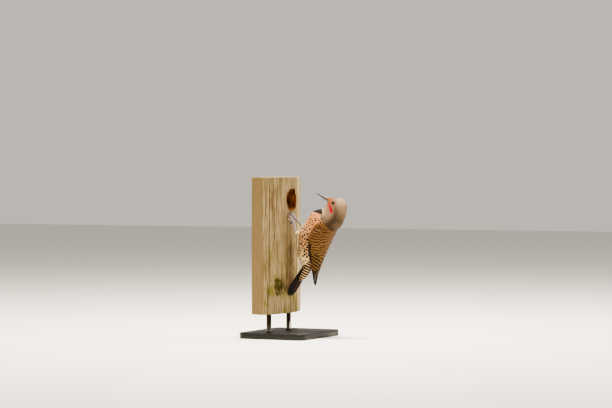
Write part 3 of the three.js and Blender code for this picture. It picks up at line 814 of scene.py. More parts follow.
def scatter(points, faces, spacing, rng, crowd=14):
    """Evenly random places on a surface, no two closer than the spacing where they are."""
    tri = np.concatenate([faces[:, [0, 1, 2]], faces[:, [0, 2, 3]]])
    a, b, c = (points[tri[:, k]] for k in range(3))
    area = np.linalg.norm(np.cross(b - a, c - a), axis=1) / 2
    gap = spacing((a + b + c) / 3)
    weight = np.where(np.isfinite(gap), area / gap**2, 0)
    chosen = rng.choice(len(tri), int(weight.sum() * crowd), p=weight / weight.sum())
    u, v = rng.uniform(0, 1, (2, len(chosen), 1))
    over = u + v > 1
    u, v = np.where(over, 1 - u, u), np.where(over, 1 - v, v)
    p = a[chosen] + u * (b - a)[chosen] + v * (c - a)[chosen]
    gap = spacing(p)
    kept = spread_out(p, gap, range(len(p)))
    return p[kept], gap[kept]


# ---- the coat of the body
BILL_EDGE = 0.5  # how far along the bill its skin is feathered
# The distances between neighbouring feathers.
FACE_GAP = 0.68
HEAD_GAP = 0.98
NECK_GAP = 1.6
TRUNK_GAP = 3.3
THIGH_GAP = 1.9


def feather_spacing(p):
    """The distance between neighbouring feathers, and infinite where the coat has none."""
    at, turn = on_spine(p)
    side = np.abs(turn)
    gap = between(FACE_GAP, HEAD_GAP, ramp(at, 4, 34))
    gap = between(gap, NECK_GAP, ramp(at, 34, 64))
    gap = between(gap, TRUNK_GAP, ramp(at, 64, 96))
    gap = between(gap, THIGH_GAP, on_thighs(p))
    q = p - TAIL_ROOT
    bald = (q @ TAIL_ALONG) > COVERT_LENGTH - 6
    bald |= off_gaze(p) < EYE_OPENING
    bill = p - BILL_ROOT
    bald |= ((bill @ BILL_ALONG) > BILL_EDGE) & (np.linalg.norm(bill, axis=1) < 8)
    bald |= (side < 62) & (at > 112) & (at < 165)  # under the wings
    return np.where(bald, np.inf, gap)


# Each piece of the coat: the stretch of the spine that it covers, and the rows and columns of its vanes.
COAT_PARTS = {
    "coat_face": (-9, 21, 3, 3),
    "coat_head": (21, 44, 3, 3),
    "coat_neck": (44, 72, 4, 3),
    "coat_breast": (72, 118, 6, 4),
    "coat_belly": (118, 158, 6, 4),
    "coat_rear": (158, 999, 6, 4),
}
SPOT_PITCH = 5.6
SPOT_RADIUS = 2.45
BAR_PERIOD = 6.8
REAR_BAR_PERIOD = 10.0
TAIL_BAR_PERIOD = 6.6


def nearest_spots(roots, way, long, at, rng):
    """For each feather, the place and radius of the black spot nearest to the part of it that shows."""
    shows = roots + way * (long * 0.45)[:, None]
    pitch = np.full(len(shows), SPOT_PITCH)
    chosen = np.sort(spread_out(shows, pitch, rng.permutation(len(shows))))
    kept = rng.uniform(0, 1, len(chosen)) < between(0.96, 0.7, ramp(at[chosen], 140, 175))
    radius = SPOT_RADIUS * rng.uniform(0.7, 1.15, len(chosen)) * kept
    radius = radius * (1 + 0.15 * ramp(at[chosen], 85, 125))
    tree = tree_of(shows[chosen])
    nearest = np.array([tree.find(place)[1] for place in shows])
    return np.concatenate([shows[chosen][nearest], np.maximum(radius[nearest], 0.01)[:, None]], 1)


def drawn(field, roots, way, across, ahead, aside, height):
    """Points of feathers, so far ahead of and aside from each root, at their heights over the outline."""
    flat = roots[:, None] + way[:, None] * ahead[:, :, None] + across[:, None] * aside[:, :, None]
    return draw_on(field, flat.reshape(-1, 3), height.ravel(), 3).reshape(flat.shape)


BEFORE_ROOT = 0.35  # how much of a feather lies behind its root, hidden under others
TO_TIP = 1 - BEFORE_ROOT
PATCH_SHARE = 0.4  # a feather's patch on the map, as a share of the mean distance between two
VARIANTS = 5  # the outlines that a piece's feathers are cut to


def body_vanes():
    """Every contour feather of the body, laid along the coat and drawn onto the dressed outline."""
    rng = np.random.default_rng(21)
    roots, gap = scatter(skin_points, skin_quads, feather_spacing, rng)
    normal = unit(slope(skin_field, roots))
    way = lie_of_coat(roots, normal)
    turn = rng.normal(0, 0.12, len(roots))[:, None]
    way = unit(way + np.cross(normal, way) * turn)
    across = np.cross(normal, way)
    at, _ = on_spine(roots)
    long = gap * between(4.2, 3.5, ramp(at, 30, 110)) * rng.uniform(0.88, 1.14, len(gap))
    wide = gap * between(2.05, 2.3, ramp(at, 30, 100)) * rng.uniform(0.9, 1.1, len(gap))
    for share in (1.0, 0.7, 0.4):  # feathers that would lie over the eye are shorter
        over = off_gaze(roots + way * (long * share * TO_TIP)[:, None]) < EYE_OPENING + 0.25
        long = np.where(over, long * 0.72, long)
    shown = off_gaze(roots + way * (long * TO_TIP)[:, None]) >= EYE_OPENING + 0.1
    coats = {name: Coat() for name in COAT_PARTS}
    spots = nearest_spots(roots, way, long, at, rng)
    for name, coat in coats.items():
        low, high, rows, columns = COAT_PARTS[name]
        mine = (at >= low) & (at < high) & shown
        coat.patch = PATCH_SHARE / math.sqrt(max(1, mine.sum()))
        coat.low, coat.high = low, min(high, SPINE_LENGTH)
        kind = rng.integers(0, VARIANTS, len(roots))
        for k in range(VARIANTS):
            use = mine & (kind == k)
            s, t, under, faces = vane_shape(rows, columns)
            along, side = contour_outline(s, t, rng, 0.3)
            own = (values[use] for values in (roots, way, across, long, wide, gap, spots))
            lay_vanes(coat, rng, *own, (s, t, under, faces, along, side))
    return coats


def lay_vanes(coat, rng, roots, way, across, long, wide, gap, spots, shape):
    """Adds feathers of one shape to a coat, bent onto the dressed outline."""
    s, t, under, faces, along, side = shape
    many = len(roots)
    if not many:
        return
    deep = coat_depth(roots)[:, None]
    tip = rng.uniform(-0.3, 0.2, (many, 1)) * np.minimum(1, gap[:, None] / 3.5)
    rise = between(-np.minimum(deep, 0.13 * long[:, None]) - 0.08, tip, s**0.9)
    roll = rng.normal(0, 0.035, (many, 1)) * wide[:, None] * t
    height = rise - 0.05 * wide[:, None] * t**2 * (0.4 + 0.6 * s) + roll * s
    thin = np.minimum(0.12, 0.035 * wide)[:, None]
    height = height - under * thin
    ahead = long[:, None] * (along - BEFORE_ROOT)
    p = drawn(body_field, roots, way, across, ahead, wide[:, None] / 2 * side, height)
    tint, bars, spot = body_marks(rng, roots, way, across, spots, p, s)
    vane = vane_map(t, s, many)
    centre = np.clip(unwrap(roots, coat.low, coat.high), 0.01, 0.99)[:, None]
    tips = slope(body_field, roots + way * long[:, None] * TO_TIP)[:, None]
    coat_normal = unit(between(slope(body_field, roots)[:, None], tips, s[None, :, None]))
    coat.add(p, faces, under, coat_normal, vane, centre + coat.patch * (vane - 0.5), tint, bars, spot)


def body_marks(rng, roots, way, across, spots, p, s):
    """Tint, bars and spot of body feathers at each of their points."""
    many, each = p.shape[:2]
    flat = p.reshape(-1, 3)
    tint = 0.3 * coat_colour(roots)[:, None] + 0.7 * coat_colour(flat).reshape(p.shape)
    sharp = np.maximum(malar(flat), bib(flat)).reshape(many, each)[:, :, None]
    tint = np.where(sharp > 0.5, coat_colour(flat).reshape(p.shape), tint)
    tint = tint * rng.uniform(0.93, 1.07, (many, 1, 1))
    # each feather darker towards its root, under the feather that overlaps it: painted shade
    tint = tint * between(0.86, 1.05, s)[None, :, None]
    at, angle = on_spine(roots)
    edge = upper_edge(at)
    back = (1 - ramp(np.abs(angle), edge - 12, edge)) * ramp(at, neck_end(angle) + 2, neck_end(angle) + 9)
    rear = ramp(at, 166, 176)
    period = between(BAR_PERIOD, REAR_BAR_PERIOD, rear)[:, None]
    run, _ = on_spine(flat)
    phase = run.reshape(many, each) / period + 0.06 * rng.normal(0, 1, (many, 1))
    duty = np.broadcast_to(between(0.36, 0.42, rear)[:, None], phase.shape)
    strength = np.broadcast_to((back * 0.9)[:, None], phase.shape)
    tail = (((roots - TAIL_ROOT) @ TAIL_ALONG) > -14) & (((roots - TAIL_ROOT) @ TAIL_BACK) > -2)
    strength = np.where(tail[:, None], 1.0, strength)
    duty = np.where(tail[:, None], 0.55, duty)
    phase = np.where(tail[:, None], (p - TAIL_ROOT) @ TAIL_ALONG / TAIL_BAR_PERIOD, phase)
    # the tail coverts' pale colour, darker towards each root as painted shade
    white = COVERT_WHITE * between(0.86, 1.05, s)[None, :, None]
    tint = np.where(tail[:, None, None], white, tint)
    bars = np.stack([phase, duty, strength], 2)
    under = (np.abs(angle) > edge) & (at > neck_end(np.abs(angle)) - 4)
    under = under & ~tail & (on_thighs(roots) < 0.5)
    amount = under * between(1.0, 0.8, ramp(at, 150, 190)) * (bib(roots) < 0.2)
    off = (p - spots[:, None, :3]) / spots[:, None, 3:]
    stretch = rng.uniform(0.85, 1.25, (many, 1))
    x = (off * across[:, None]).sum(2) * stretch
    y = (off * way[:, None]).sum(2) / stretch
    spot = np.stack([x, y, np.broadcast_to(amount[:, None], x.shape)], 2)
    return tint, bars, spot


for coat_name, body_coat in body_vanes().items():
    of_head = COAT_PARTS[coat_name][1] <= 72
    body_coat.make(coat_name, "plumage_head" if of_head else "plumage_body")


# ---- wings
def wing_table(samples=600):
    """The wing's stations along a smooth line, and how many mm each lies from the wing's top."""
    rows = []
    last = len(WING) - 1
    for t in np.linspace(0, last, samples):
        i = min(int(t), last - 1)
        a, b, c, d = (WING[min(max(k, 0), last)] for k in (i - 1, i, i + 1, i + 2))
        f = t - i
        u, v = (c - a) / 2, (d - b) / 2
        rows.append((2 * b - 2 * c + u + v) * f**3 + (3 * c - 3 * b - 2 * u - v) * f**2 + u * f + b)
    rows = np.array(rows)
    steps = np.linalg.norm(np.diff(rows[:, :2], axis=0), axis=1)
    return rows, np.concatenate([[0], np.cumsum(steps)])


WING_ROWS, WING_DOWN = wing_table()
WING_TOP_WAY = unit(WING_ROWS[12, :2] - WING_ROWS[0, :2])


def wing_width(v):
    """How many mm the wing spans from its edge at the back to its edge at the flank."""
    r, low, high = (np.interp(v, WING_DOWN, WING_ROWS[:, k]) for k in (2, 4, 5))
    return r * np.radians(high - low)


def on_wing(side, v, share, shift=0.0, out=0.0):
    """A place v mm down a wing, share of the way across it, shift mm further, and out mm off it."""
    x, z, r, w, low, high = (np.interp(v, WING_DOWN, WING_ROWS[:, k]) for k in range(6))
    before = np.minimum(v, 0)
    turn = np.radians(low + (high - low) * share) + shift / r
    reach = r + out
    return np.stack([
        x + before * WING_TOP_WAY[0] + reach * np.cos(turn),
        side * w * reach * np.sin(turn),
        z + before * WING_TOP_WAY[1],
    ], -1)


def wing_sink(v, share):
    """How deep the wing's surface lies at its top, where the body's feathers cover it, and at its edge."""
    return 4.5 * (1 - ramp(v, -2, 20)) + 1.4 * ramp(share, 0.88, 1.02) * (1 - ramp(v, 100, 130))


def wing_start(share):
    """How far down the wing the plain dark colour of the neck reaches, which is partly painted shade."""
    return 21 - 20 * np.clip(share, 0, 1) ** 1.3


def dark_edge_and_shadow(v, share):
    """1 on the plain dark strip along the flank, 0 on the barred wing: partly the dark primary coverts,
    partly painted shadow of the gap between wing and flank.
    """
    return ramp(share, 0.92, 0.97) * ramp(v, 40, 58)


def wing_colour(v, share):
    """The ground colour of the wing, v mm down it and share of the way across."""
    ground = between(BACK[None], OCHRE[None], ramp(v, 52, 84)[:, None])
    # the neck's dark colour, partly painted shade, runs onto the top of the wing
    nape = NAPE_AND_SHADE * (1 - ramp(share, 0.2, 0.8))[:, None] + FACE * ramp(share, 0.2, 0.8)[:, None]
    ground = toned(ground, 1 - ramp(v, wing_start(share) - 3, wing_start(share) + 4), nape)
    # the dark strip at the flank, partly painted shadow
    return toned(ground, dark_edge_and_shadow(v, share), DARK_VANE)


def flight_outline(s, t, tip, blunt=0.5):
    """A stiff feather with nearly parallel edges, closing from the share tip onwards."""
    close = np.clip((s - tip) / (1 - tip), 0, 1)
    half = between(0.5, 1, np.minimum(1, s * 3)) * np.clip(1 - close**2, 0.0009, 1) ** blunt
    return s, half * np.sign(t) * np.abs(t) ** 1.5


def covert_outline(s, t, rng, ragged):
    """A covert's outline: a little longer and squarer than a body feather's."""
    return contour_outline(s, t, rng, ragged, 0.56, 1.2)


def shoulder(v, p):
    """Points of a wing's top drawn in, so that the wing rises smoothly out of the body's coat."""
    near = v < 44
    q = p[near]
    away = body_field(q)
    most = between(-2.4, 16, ramp(v[near], 4, 44))
    p = p.copy()
    p[near] = draw_on(body_field, q, np.minimum(away, most), 2)
    return p


COVERT_BARS = 6.7
CHEVRONS = 7.9
BAKE_CELLS = 22  # a wing's map has this many by this many cells, one for each feather


class Wing:
    """The feathers of one wing, laid in rows down its cone."""

    def __init__(self, side, rng):
        self.side, self.rng, self.coat, self.laid = side, rng, Coat(), 0

    def lay(self, shape, outline, start, end, share, share_end, width, height, height_end, look, shift=0.0):
        """One row of feathers. Every number may be an array with one value for each feather."""
        s, t, under, faces = shape
        faces = faces if self.side < 0 else faces[:, ::-1]
        many = np.size(share)
        along, across = outline
        col = lambda value: np.broadcast_to(np.asarray(value, float), many)[:, None]
        v = between(col(start), col(end), along[None])
        middle = between(col(share), col(share_end), along[None] ** 1.2)
        off = col(shift) + col(width) / 2 * across[None]
        span = np.maximum(wing_width(v), 1.0)
        place = middle + off / span
        lift = between(col(height), col(height_end), s[None] ** 0.8)
        tilt = 0.05 * col(width) * t[None] * (1 - 0.5 * s[None])
        crown = -0.05 * col(width) * t[None] ** 2
        shaft = 0.16 * (np.abs(t[None]) < ON_SHAFT) * (1 - s[None])
        thin = np.minimum(0.35, 0.05 * col(width))
        out = lift + tilt + crown + shaft - thin * under[None] - wing_sink(v, place)
        p = shoulder(v, on_wing(self.side, v, middle, off, out))
        down = on_wing(self.side, v + 1, middle, off) - on_wing(self.side, v - 1, middle, off)
        round_ = on_wing(self.side, v, middle, off + 1) - on_wing(self.side, v, middle, off - 1)
        normal = unit(np.cross(round_, down)) * self.side
        tint, bars = look(self.rng, v, place, off, s[None] + 0 * v, t[None] + 0 * v)
        vane = vane_map(across, s, many)
        number = self.laid + np.arange(many)
        self.laid += many
        corner = np.stack([number % BAKE_CELLS, number // BAKE_CELLS], 1)[:, None] / BAKE_CELLS
        bake = corner + (0.1 + 0.8 * vane) / BAKE_CELLS
        self.coat.add(p, faces, under, normal, vane, bake, tint, bars)


def shade(rng, tint, s):
    """A tint for each point of each feather, a little different on each and paler to its tip, with painted
    shade darkening it towards the root, where the feather over it lies.
    """
    return tint * rng.uniform(0.88, 1.12, (len(s), 1, 1)) * between(0.76, 1.1, s)[:, :, None]


def from_shaft(off, t):
    """How many mm each point lies from its own feather's shaft, across the wing."""
    return off - off[:, np.flatnonzero(t[0] == 0)[0]][:, None]


def covert_look(rng, v, place, off, s, t):
    """Tint and bars of coverts: thin bars that bow down in the middle of the wing."""
    tint = shade(rng, wing_colour(v.ravel(), place.ravel()).reshape(*v.shape, 3), s)
    bowed = v + 6 * (2 * place - 1) ** 2 - 0.05 * from_shaft(off, t) ** 2
    phase = bowed / COVERT_BARS + rng.normal(0, 0.13, (len(v), 1))
    strength = 0.9 * (1 - dark_edge_and_shadow(v, place))
    strength = strength * ramp(v, wing_start(place) - 1, wing_start(place) + 5)
    return tint, np.stack([phase, 0 * v + 0.36, strength], 2)


def chevron_look(rng, v, place, off, s, t):
    """Tint and bars of the inner flight feathers: broad bars in the shape of a V."""
    tint = shade(rng, wing_colour(v.ravel(), 0 * place.ravel()).reshape(*v.shape, 3), s)
    phase = (v + 0.75 * np.abs(from_shaft(off, t))) / CHEVRONS + rng.uniform(0, 1, (len(v), 1))
    return tint, np.stack([phase, 0 * v + 0.57, 0 * v + 1], 2)


def dark_look(rng, v, place, off, s, t):
    """Tint of the outer flight feathers: dark, with notches at the edge and a reddish shaft."""
    tint = shade(rng, np.broadcast_to(DARK_VANE, (*v.shape, 3)), s) * 0.6
    notch = (np.sin(v / CHEVRONS * 2 * np.pi) > 0.25) & (t > 0.85) & (v < 120)
    tint = np.where(notch[..., None], OCHRE * 1.2, tint)
    pale = ramp(s, 0.9, 1.0) * (v < 150) * (v > 132)
    tint = toned(tint, pale * 0.7, PALE_TIP)
    shaft = (np.abs(t) < ON_SHAFT) * 0.5
    return toned(tint, shaft, RED_SHAFT), None


def make_wing(side, name):
    """One folded wing: rows of flight feathers, and rows of coverts over them."""
    rng = np.random.default_rng(31 if side < 0 else 32)
    wing = Wing(side, rng)
    long_shape = vane_shape(18, 4)
    s, t = long_shape[:2]
    # primaries: the outermost lies lowest, and along the flank
    rank = np.arange(8)
    tips = np.array([161.5, 161, 158, 152, 145, 138, 131, 124.0])
    wing.lay(long_shape, flight_outline(s, t, 0.72), start=60, end=tips, share=0.93 - 0.035 * rank,
             share_end=0.6 - 0.02 * rank, width=9, height=-3.1 + 0.16 * rank,
             height_end=-1.1 + 0.14 * rank, look=dark_look)
    # secondaries
    rank = np.arange(7)
    wing.lay(long_shape, flight_outline(s, t, 0.82), start=46, end=123 - 2.5 * rank,
             share=0.86 - 0.05 * rank, share_end=0.76 - 0.05 * rank, width=12,
             height=-1.9 + 0.14 * rank, height_end=-1.0 + 0.13 * rank, look=chevron_look)
    # tertials, which cover them towards the back
    wing.lay(long_shape, flight_outline(s, t, 0.78), start=40, end=[129, 121, 110, 98],
             share=[0.57, 0.36, 0.2, 0.1], share_end=[0.54, 0.32, 0.16, 0.08], width=[18, 18, 17, 15],
             height=[-1.2, -0.9, -0.6, -0.4], height_end=[0, 0.3, 0.5, 0.6], look=chevron_look)
    # the dark coverts along the flank
    rank = np.arange(4)
    wing.lay(long_shape, flight_outline(s, t, 0.8), start=50, end=104 - 6 * rank,
             share=0.98 - 0.015 * rank, share_end=0.96 - 0.01 * rank, width=5.5,
             height=-1.5 + 0.1 * rank, height_end=[-0.7, -0.5, -0.3, -0.2], look=dark_look)
    # coverts and scapulars, each row over the one below it
    for tip in np.arange(82, 22, -8.0):
        lay_row(wing, tip, 0.38, 1.0 if tip < 62 else 0.84, 26 if tip > 45 else 20, 12 if tip > 45 else 9)
    for tip in np.arange(96, 26, -8.5):
        lay_row(wing, tip, 0.0, 0.42, 30 if tip > 40 else 22, 14.5 if tip > 40 else 11, 0.5)
    wing.coat.make("coat_" + name, "plumage_wing", (name,))
    make_wing_core(side, name)


def lay_row(wing, tip, low, high, long, width, lift=0.0):
    """A row of coverts, whose tips lie in line across the wing."""
    rng = wing.rng
    span = wing_width(np.array([tip]))[0] * (high - low)
    many = max(2, int(span / (width * 0.56)))
    share = low + (high - low) * (np.arange(many) + 0.5 + rng.uniform(-0.18, 0.18, many)) / many
    share = share[rng.permutation(many)]
    for part in np.array_split(np.arange(many), 3):
        if len(part):
            s, t, under, faces = vane_shape(8, 4)
            outline = covert_outline(s, t, rng, 0.16)
            ends = tip + rng.uniform(-2.2, 2.2, len(part)) - 3 * (2 * share[part] - 1) ** 2
            wing.lay((s, t, under, faces), outline, ends - long, ends, share[part],
                     share[part], width * rng.uniform(0.9, 1.1, len(part)),
                     -1.7 + lift, rng.uniform(-0.15, 0.35, len(part)) + lift, covert_look)


def make_wing_core(side, name):
    """The flesh and quills of a wing, closed, under its feathers."""
    rows, wide = 40, 24
    v, share = np.meshgrid(np.linspace(24, 134, rows), np.linspace(0, 1, wide), indexing="ij")
    edge = np.sqrt(1 - np.abs(2 * share - 1) ** 8) * np.sqrt(np.sin(np.pi * (v - 23) / 112))
    thick = between(1.7, 0.25, v / 134) * edge
    depth = between(3.3, 1.6, ramp(v, 40, 130)) + wing_sink(v, share) * 0.6
    outer = on_wing(side, v, share, out=thick / 2 - depth)
    inner = on_wing(side, v, share, out=-thick / 2 - depth)
    points = np.concatenate([outer.reshape(-1, 3), inner.reshape(-1, 3)])
    at = np.arange(rows * wide).reshape(rows, wide)
    under = at + rows * wide
    quads = []
    for n, order in ((at, [0, 1, 2, 3]), (under, [0, 3, 2, 1])):
        corners = [n[:-1, :-1], n[:-1, 1:], n[1:, 1:], n[1:, :-1]]
        quads.append(np.stack(corners, -1).reshape(-1, 4)[:, order])
    for a, b in ((at[0], under[0]), (at[:, -1], under[:, -1]), (at[-1, ::-1], under[-1, ::-1]),
                 (at[::-1, 0], under[::-1, 0])):
        quads.append(np.stack([a[:-1], b[:-1], b[1:], a[1:]], -1))
    faces = np.concatenate(quads)
    if side > 0:
        faces = faces[:, ::-1]
    # the wing's colours darkened by half: painted shade under the feathers
    tint = wing_colour(v.ravel(), share.ravel()) * 0.5
    still = np.zeros((len(points), 3))
    bake = np.stack([share.ravel() * 0.48 + 0.01, v.ravel() / 140], 1)
    bake = np.concatenate([bake, bake + [0.5, 0]])
    vane = np.concatenate([np.stack([share.ravel(), v.ravel() / 30], 1)] * 2)
    make_piece(name + "_core", points, faces, PLUMAGE, "plumage_wing", bake=bake, vane=vane,
               Tint=np.concatenate([tint, tint]), Bars=still, Spot=still)


def make_mantle():
    """The feathers of the back, which lie over both wings along the midline."""
    rng = np.random.default_rng(41)
    mantle = Wing(-1, rng)
    for tip in np.arange(84, 20, -7.5):
        across = np.arange(-2, 3) * 8.0 + rng.uniform(-1, 1, 5)
        across = across * between(0.55, 1.0, ramp(np.array([84 - tip]), 0, 30))[0]
        s, t, under, faces = vane_shape(8, 4)
        outline = covert_outline(s, t, rng, 0.16)
        ends = tip + rng.uniform(-2, 2, 5)
        start = np.interp(ends, WING_DOWN, WING_ROWS[:, 4])
        share = -start / (np.interp(ends, WING_DOWN, WING_ROWS[:, 5]) - start)
        mantle.lay((s, t, under, faces), outline, ends - 25, ends, share, share, 12.5,
                   -1.4, 0.7 + rng.uniform(-0.2, 0.2, 5), covert_look, shift=across)
    mantle.coat.make("coat_mantle", "plumage_wing")


make_wing(-1, "wing_left")
make_wing(1, "wing_right")
make_mantle()


# ---- tail
RECTRIX_PAIRS = 5
RECTRIX_WIDTH = 17


def make_tail():
    """Ten stiff pointed feathers, the middle pair on top."""
    rng = np.random.default_rng(51)
    coat = Coat()
    s, t, under, faces = vane_shape(26, 4)
    for rank in range(RECTRIX_PAIRS):
        for side in (-1, 1):
            tip = 0.72 if rank < 2 else 0.76
            along, across = flight_outline(s, t, tip, 0.85)
            long = TAIL_LENGTH - rank * rank
            fan = math.radians(1.4 + 2.6 * rank) * side
            bend = -2.2 * (1 - along) * along  # each feather bows a little towards the wood
            wear = rng.uniform(-1, 1, len(s)) * 0.35 * ((np.abs(t) > 0.9) | (s > 0.97))
            off = RECTRIX_WIDTH / 2 * across * (1 + 0.04 * wear)
            reach = long * along
            y = side * (1.5 + 1.5 * rank) + reach * math.sin(fan) + off
            shaft = 0.55 * (np.abs(t) < ON_SHAFT) * (1 - s)
            back = -0.9 * rank + bend + shaft - 0.25 * np.abs(off) * 0.3 - 0.9 * under * (1 - 0.8 * s)
            p = TAIL_ROOT + (reach * math.cos(fan))[:, None] * TAIL_ALONG + back[:, None] * TAIL_BACK
            p = p + y[:, None] * SIDEWAYS
            tint = np.broadcast_to(TAIL_BLACK, p.shape) * rng.uniform(0.85, 1.2)
            tint = toned(tint, (np.abs(t) < ON_SHAFT) * (1 - ramp(s, 0.7, 0.95)) * 0.3, SALMON)
            tint = toned(tint, (np.abs(t) > 0.95) * (1 - ramp(s, 0.6, 0.9)) * 0.08, COVERT_WHITE)
            below = under * ramp(s, 0.15, 0.3) * (1 - ramp(s, 0.8, 0.92))
            tint = toned(tint, below * 0.8, SALMON)
            number = 2 * rank + (side > 0)
            vane = vane_map(across, s, 1)
            bake = np.array([0.02 + 0.096 * number, 0.02]) + vane * [0.085, 0.96]
            coat.add(p[None], faces, under, TAIL_BACK, vane, bake, tint[None])
    coat.make("tail_feathers", "plumage_tail", ("tail",), TAIL_PLUMAGE)


COVERTS_IN_RING = 13
COVERT_LONG = 27.0
COVERT_WIDTH = 10.5


def make_tail_coverts():
    """Long soft feathers over and under the root of the tail, white with bold bars."""
    rng = np.random.default_rng(61)
    coat = Coat()
    for row, reach in enumerate(np.arange(28, -14, -5.0)):
        many = COVERTS_IN_RING
        turn = (np.arange(many) + 0.5 * (row % 2)) * 2 * np.pi / many
        ring = TAIL_ROOT + reach * TAIL_ALONG + 12 * (
            np.sin(turn)[:, None] * TAIL_BACK + 1.15 * np.cos(turn)[:, None] * SIDEWAYS)
        roots = draw_on(tail_field, ring, -2.0, 3)
        normal = unit(slope(tail_field, roots))
        way = unit(TAIL_ALONG - normal * (normal @ TAIL_ALONG)[:, None])
        across = np.cross(normal, way)
        long = COVERT_LONG * rng.uniform(0.93, 1.05, many)
        s, t, under, faces = vane_shape(9, 4)
        along, side = covert_outline(s, t, rng, 0.14)
        height = between(-2.0, rng.uniform(-0.6, 0.2, (many, 1)), s[None] ** 0.8)
        height = height - 0.06 * COVERT_WIDTH * t**2 - 0.3 * under
        ahead, aside = long[:, None] * along, COVERT_WIDTH / 2 * side[None]
        p = drawn(tail_field, roots, way, across, ahead, aside, height)
        upper = np.sin(turn) > -0.25
        tint = shade(rng, np.broadcast_to(COVERT_WHITE, p.shape), np.broadcast_to(s, p.shape[:2]))
        run = (p - TAIL_ROOT) @ TAIL_ALONG
        phase = run / TAIL_BAR_PERIOD + rng.normal(0, 0.07, (many, 1))
        strength = np.where(upper, 1.0, 0.75)[:, None] + 0 * run
        bars = np.stack([phase, 0 * run + np.where(upper, 0.6, 0.45)[:, None], strength], 2)
        vane = vane_map(side, s, many)
        cell = np.stack([np.arange(many) / 14, np.full(many, row / 10)], 1)[:, None]
        bake = cell + vane * [0.055, 0.08] + 0.01
        coat.add(p, faces, under, normal[:, None], vane, bake, tint, bars)
    coat.make("coat_tail_coverts", "plumage_tail")


make_tail()
make_tail_coverts()


# ---- lofts
def loft(rings):
    """A skin over rings with the same number of points, closed at both ends by fans: points and faces."""
    rings = np.asarray(rings)
    many, sides = rings.shape[:2]
    points = np.concatenate([rings.reshape(-1, 3), rings[:1].mean(1), rings[-1:].mean(1)])
    at = np.arange(many * sides).reshape(many, sides)
    ahead = np.roll(at, -1, 1)
    quads = np.stack([at[:-1], ahead[:-1], ahead[1:], at[1:]], -1).reshape(-1, 4)
    tris = np.concatenate([quads[:, [0, 1, 2]], quads[:, [0, 2, 3]]])
    start = np.stack([ahead[0], at[0], np.full(sides, many * sides)], -1)
    end = np.stack([at[-1], ahead[-1], np.full(sides, many * sides + 1)], -1)
    tris = np.concatenate([tris, start, end])
    a, b, c = (points[tris[:, k]] for k in range(3))
    if (a * np.cross(b, c)).sum() < 0:
        tris = tris[:, ::-1]
    return points, tris


def joined(parts):
    """Several pieces of points and faces as one."""
    points, faces, count = [], [], 0
    for p, f in parts:
        points.append(p)
        faces.append(f + count)
        count += len(p)
    return np.concatenate(points), np.concatenate(faces)


def around(turn, across, over):
    """The ways that point outwards at each turn about an axis."""
    return np.cos(turn)[..., None] * across + np.sin(turn)[..., None] * over


def tube(line, radius, sides=16, relief=None):
    """A round limb along a line. relief(share, turn) raises its surface by a share of the radius."""
    line = np.asarray(line, float)
    along = unit(np.gradient(line, axis=0))
    across = unit(np.cross(along, [0.13, 0.97, 0.21]))
    over = np.cross(along, across)
    share = np.linspace(0, 1, len(line))[:, None]
    turn = np.linspace(0, 2 * np.pi, sides, endpoint=False)[None]
    r = np.broadcast_to(np.asarray(radius, float).reshape(-1, 1), (len(line), 1))
    if relief is not None:
        r = r * (1 + relief(share, turn))
    return loft(line[:, None] + r[..., None] * around(turn, across[:, None], over[:, None]))


# ---- bill
def horn_material():
    """Grey horn, darker towards the point, with a painted highlight along the ridge and a fine grain."""
    g = Graph("bill_horn")
    fine = g.noise(220.0, 4.0)
    grain = g.noise(60.0, 3.0, (1.0, 12.0, 3.0))
    to_point, ridge_highlight, _ = g.parts("Worn")
    base = g.mix(fine, colour(84, 80, 80), colour(122, 116, 114))
    base = g.layer(base, grain, 0.45, 0.75, 1.0, colour(142, 134, 128))
    base = g.layer(base, to_point, 0.55, 1.0, 0.75, colour(34, 32, 33))
    # paler towards the top of the upper half: painted highlight
    base = g.layer(base, ridge_highlight, 0.35, 1.0, 0.5, colour(150, 142, 134))
    g.bump(g.plus(grain, g.times(fine, 0.4)), 0.25, 0.0002)
    return g.finish(base, g.smooth(fine, 0.3, 0.7, 0.5, 0.66), Specular_IOR_Level=0.3)


def bill_place(along, turn, up):
    """A place on the upper or the lower half of the bill: mm from its root, and the angle from its side."""
    long = BILL_LENGTH if up > 0 else BILL_LENGTH - 1.2
    share = np.clip(along / long, 0, 1)
    tall = BILL_DEPTH / 2 * (1 - 0.93 * share**1.25) * (1 if up > 0 else 0.86)
    half = BILL_WIDTH / 2 * (1 - 0.9 * share**0.95)
    # a blunt ridge along the top, a groove by it, and sides that pull in over the cutting edge
    ridge = np.sin(turn) ** (0.82 if up > 0 else 0.95)
    side = np.cos(turn) * (1 - 0.1 * np.sin(turn) ** 2 * np.cos(2 * turn) ** 2)
    groove = 0.05 * np.exp(-((np.abs(turn - np.pi / 2) - 0.72) ** 2) / 0.03) * (1 - share) ** 0.5
    rise = up * tall * (ridge - groove) - 1.1 * share**2 + up * 0.17
    return (BILL_ROOT + along[..., None] * BILL_ALONG + rise[..., None] * BILL_UP
            + (half * side)[..., None] * SIDEWAYS)


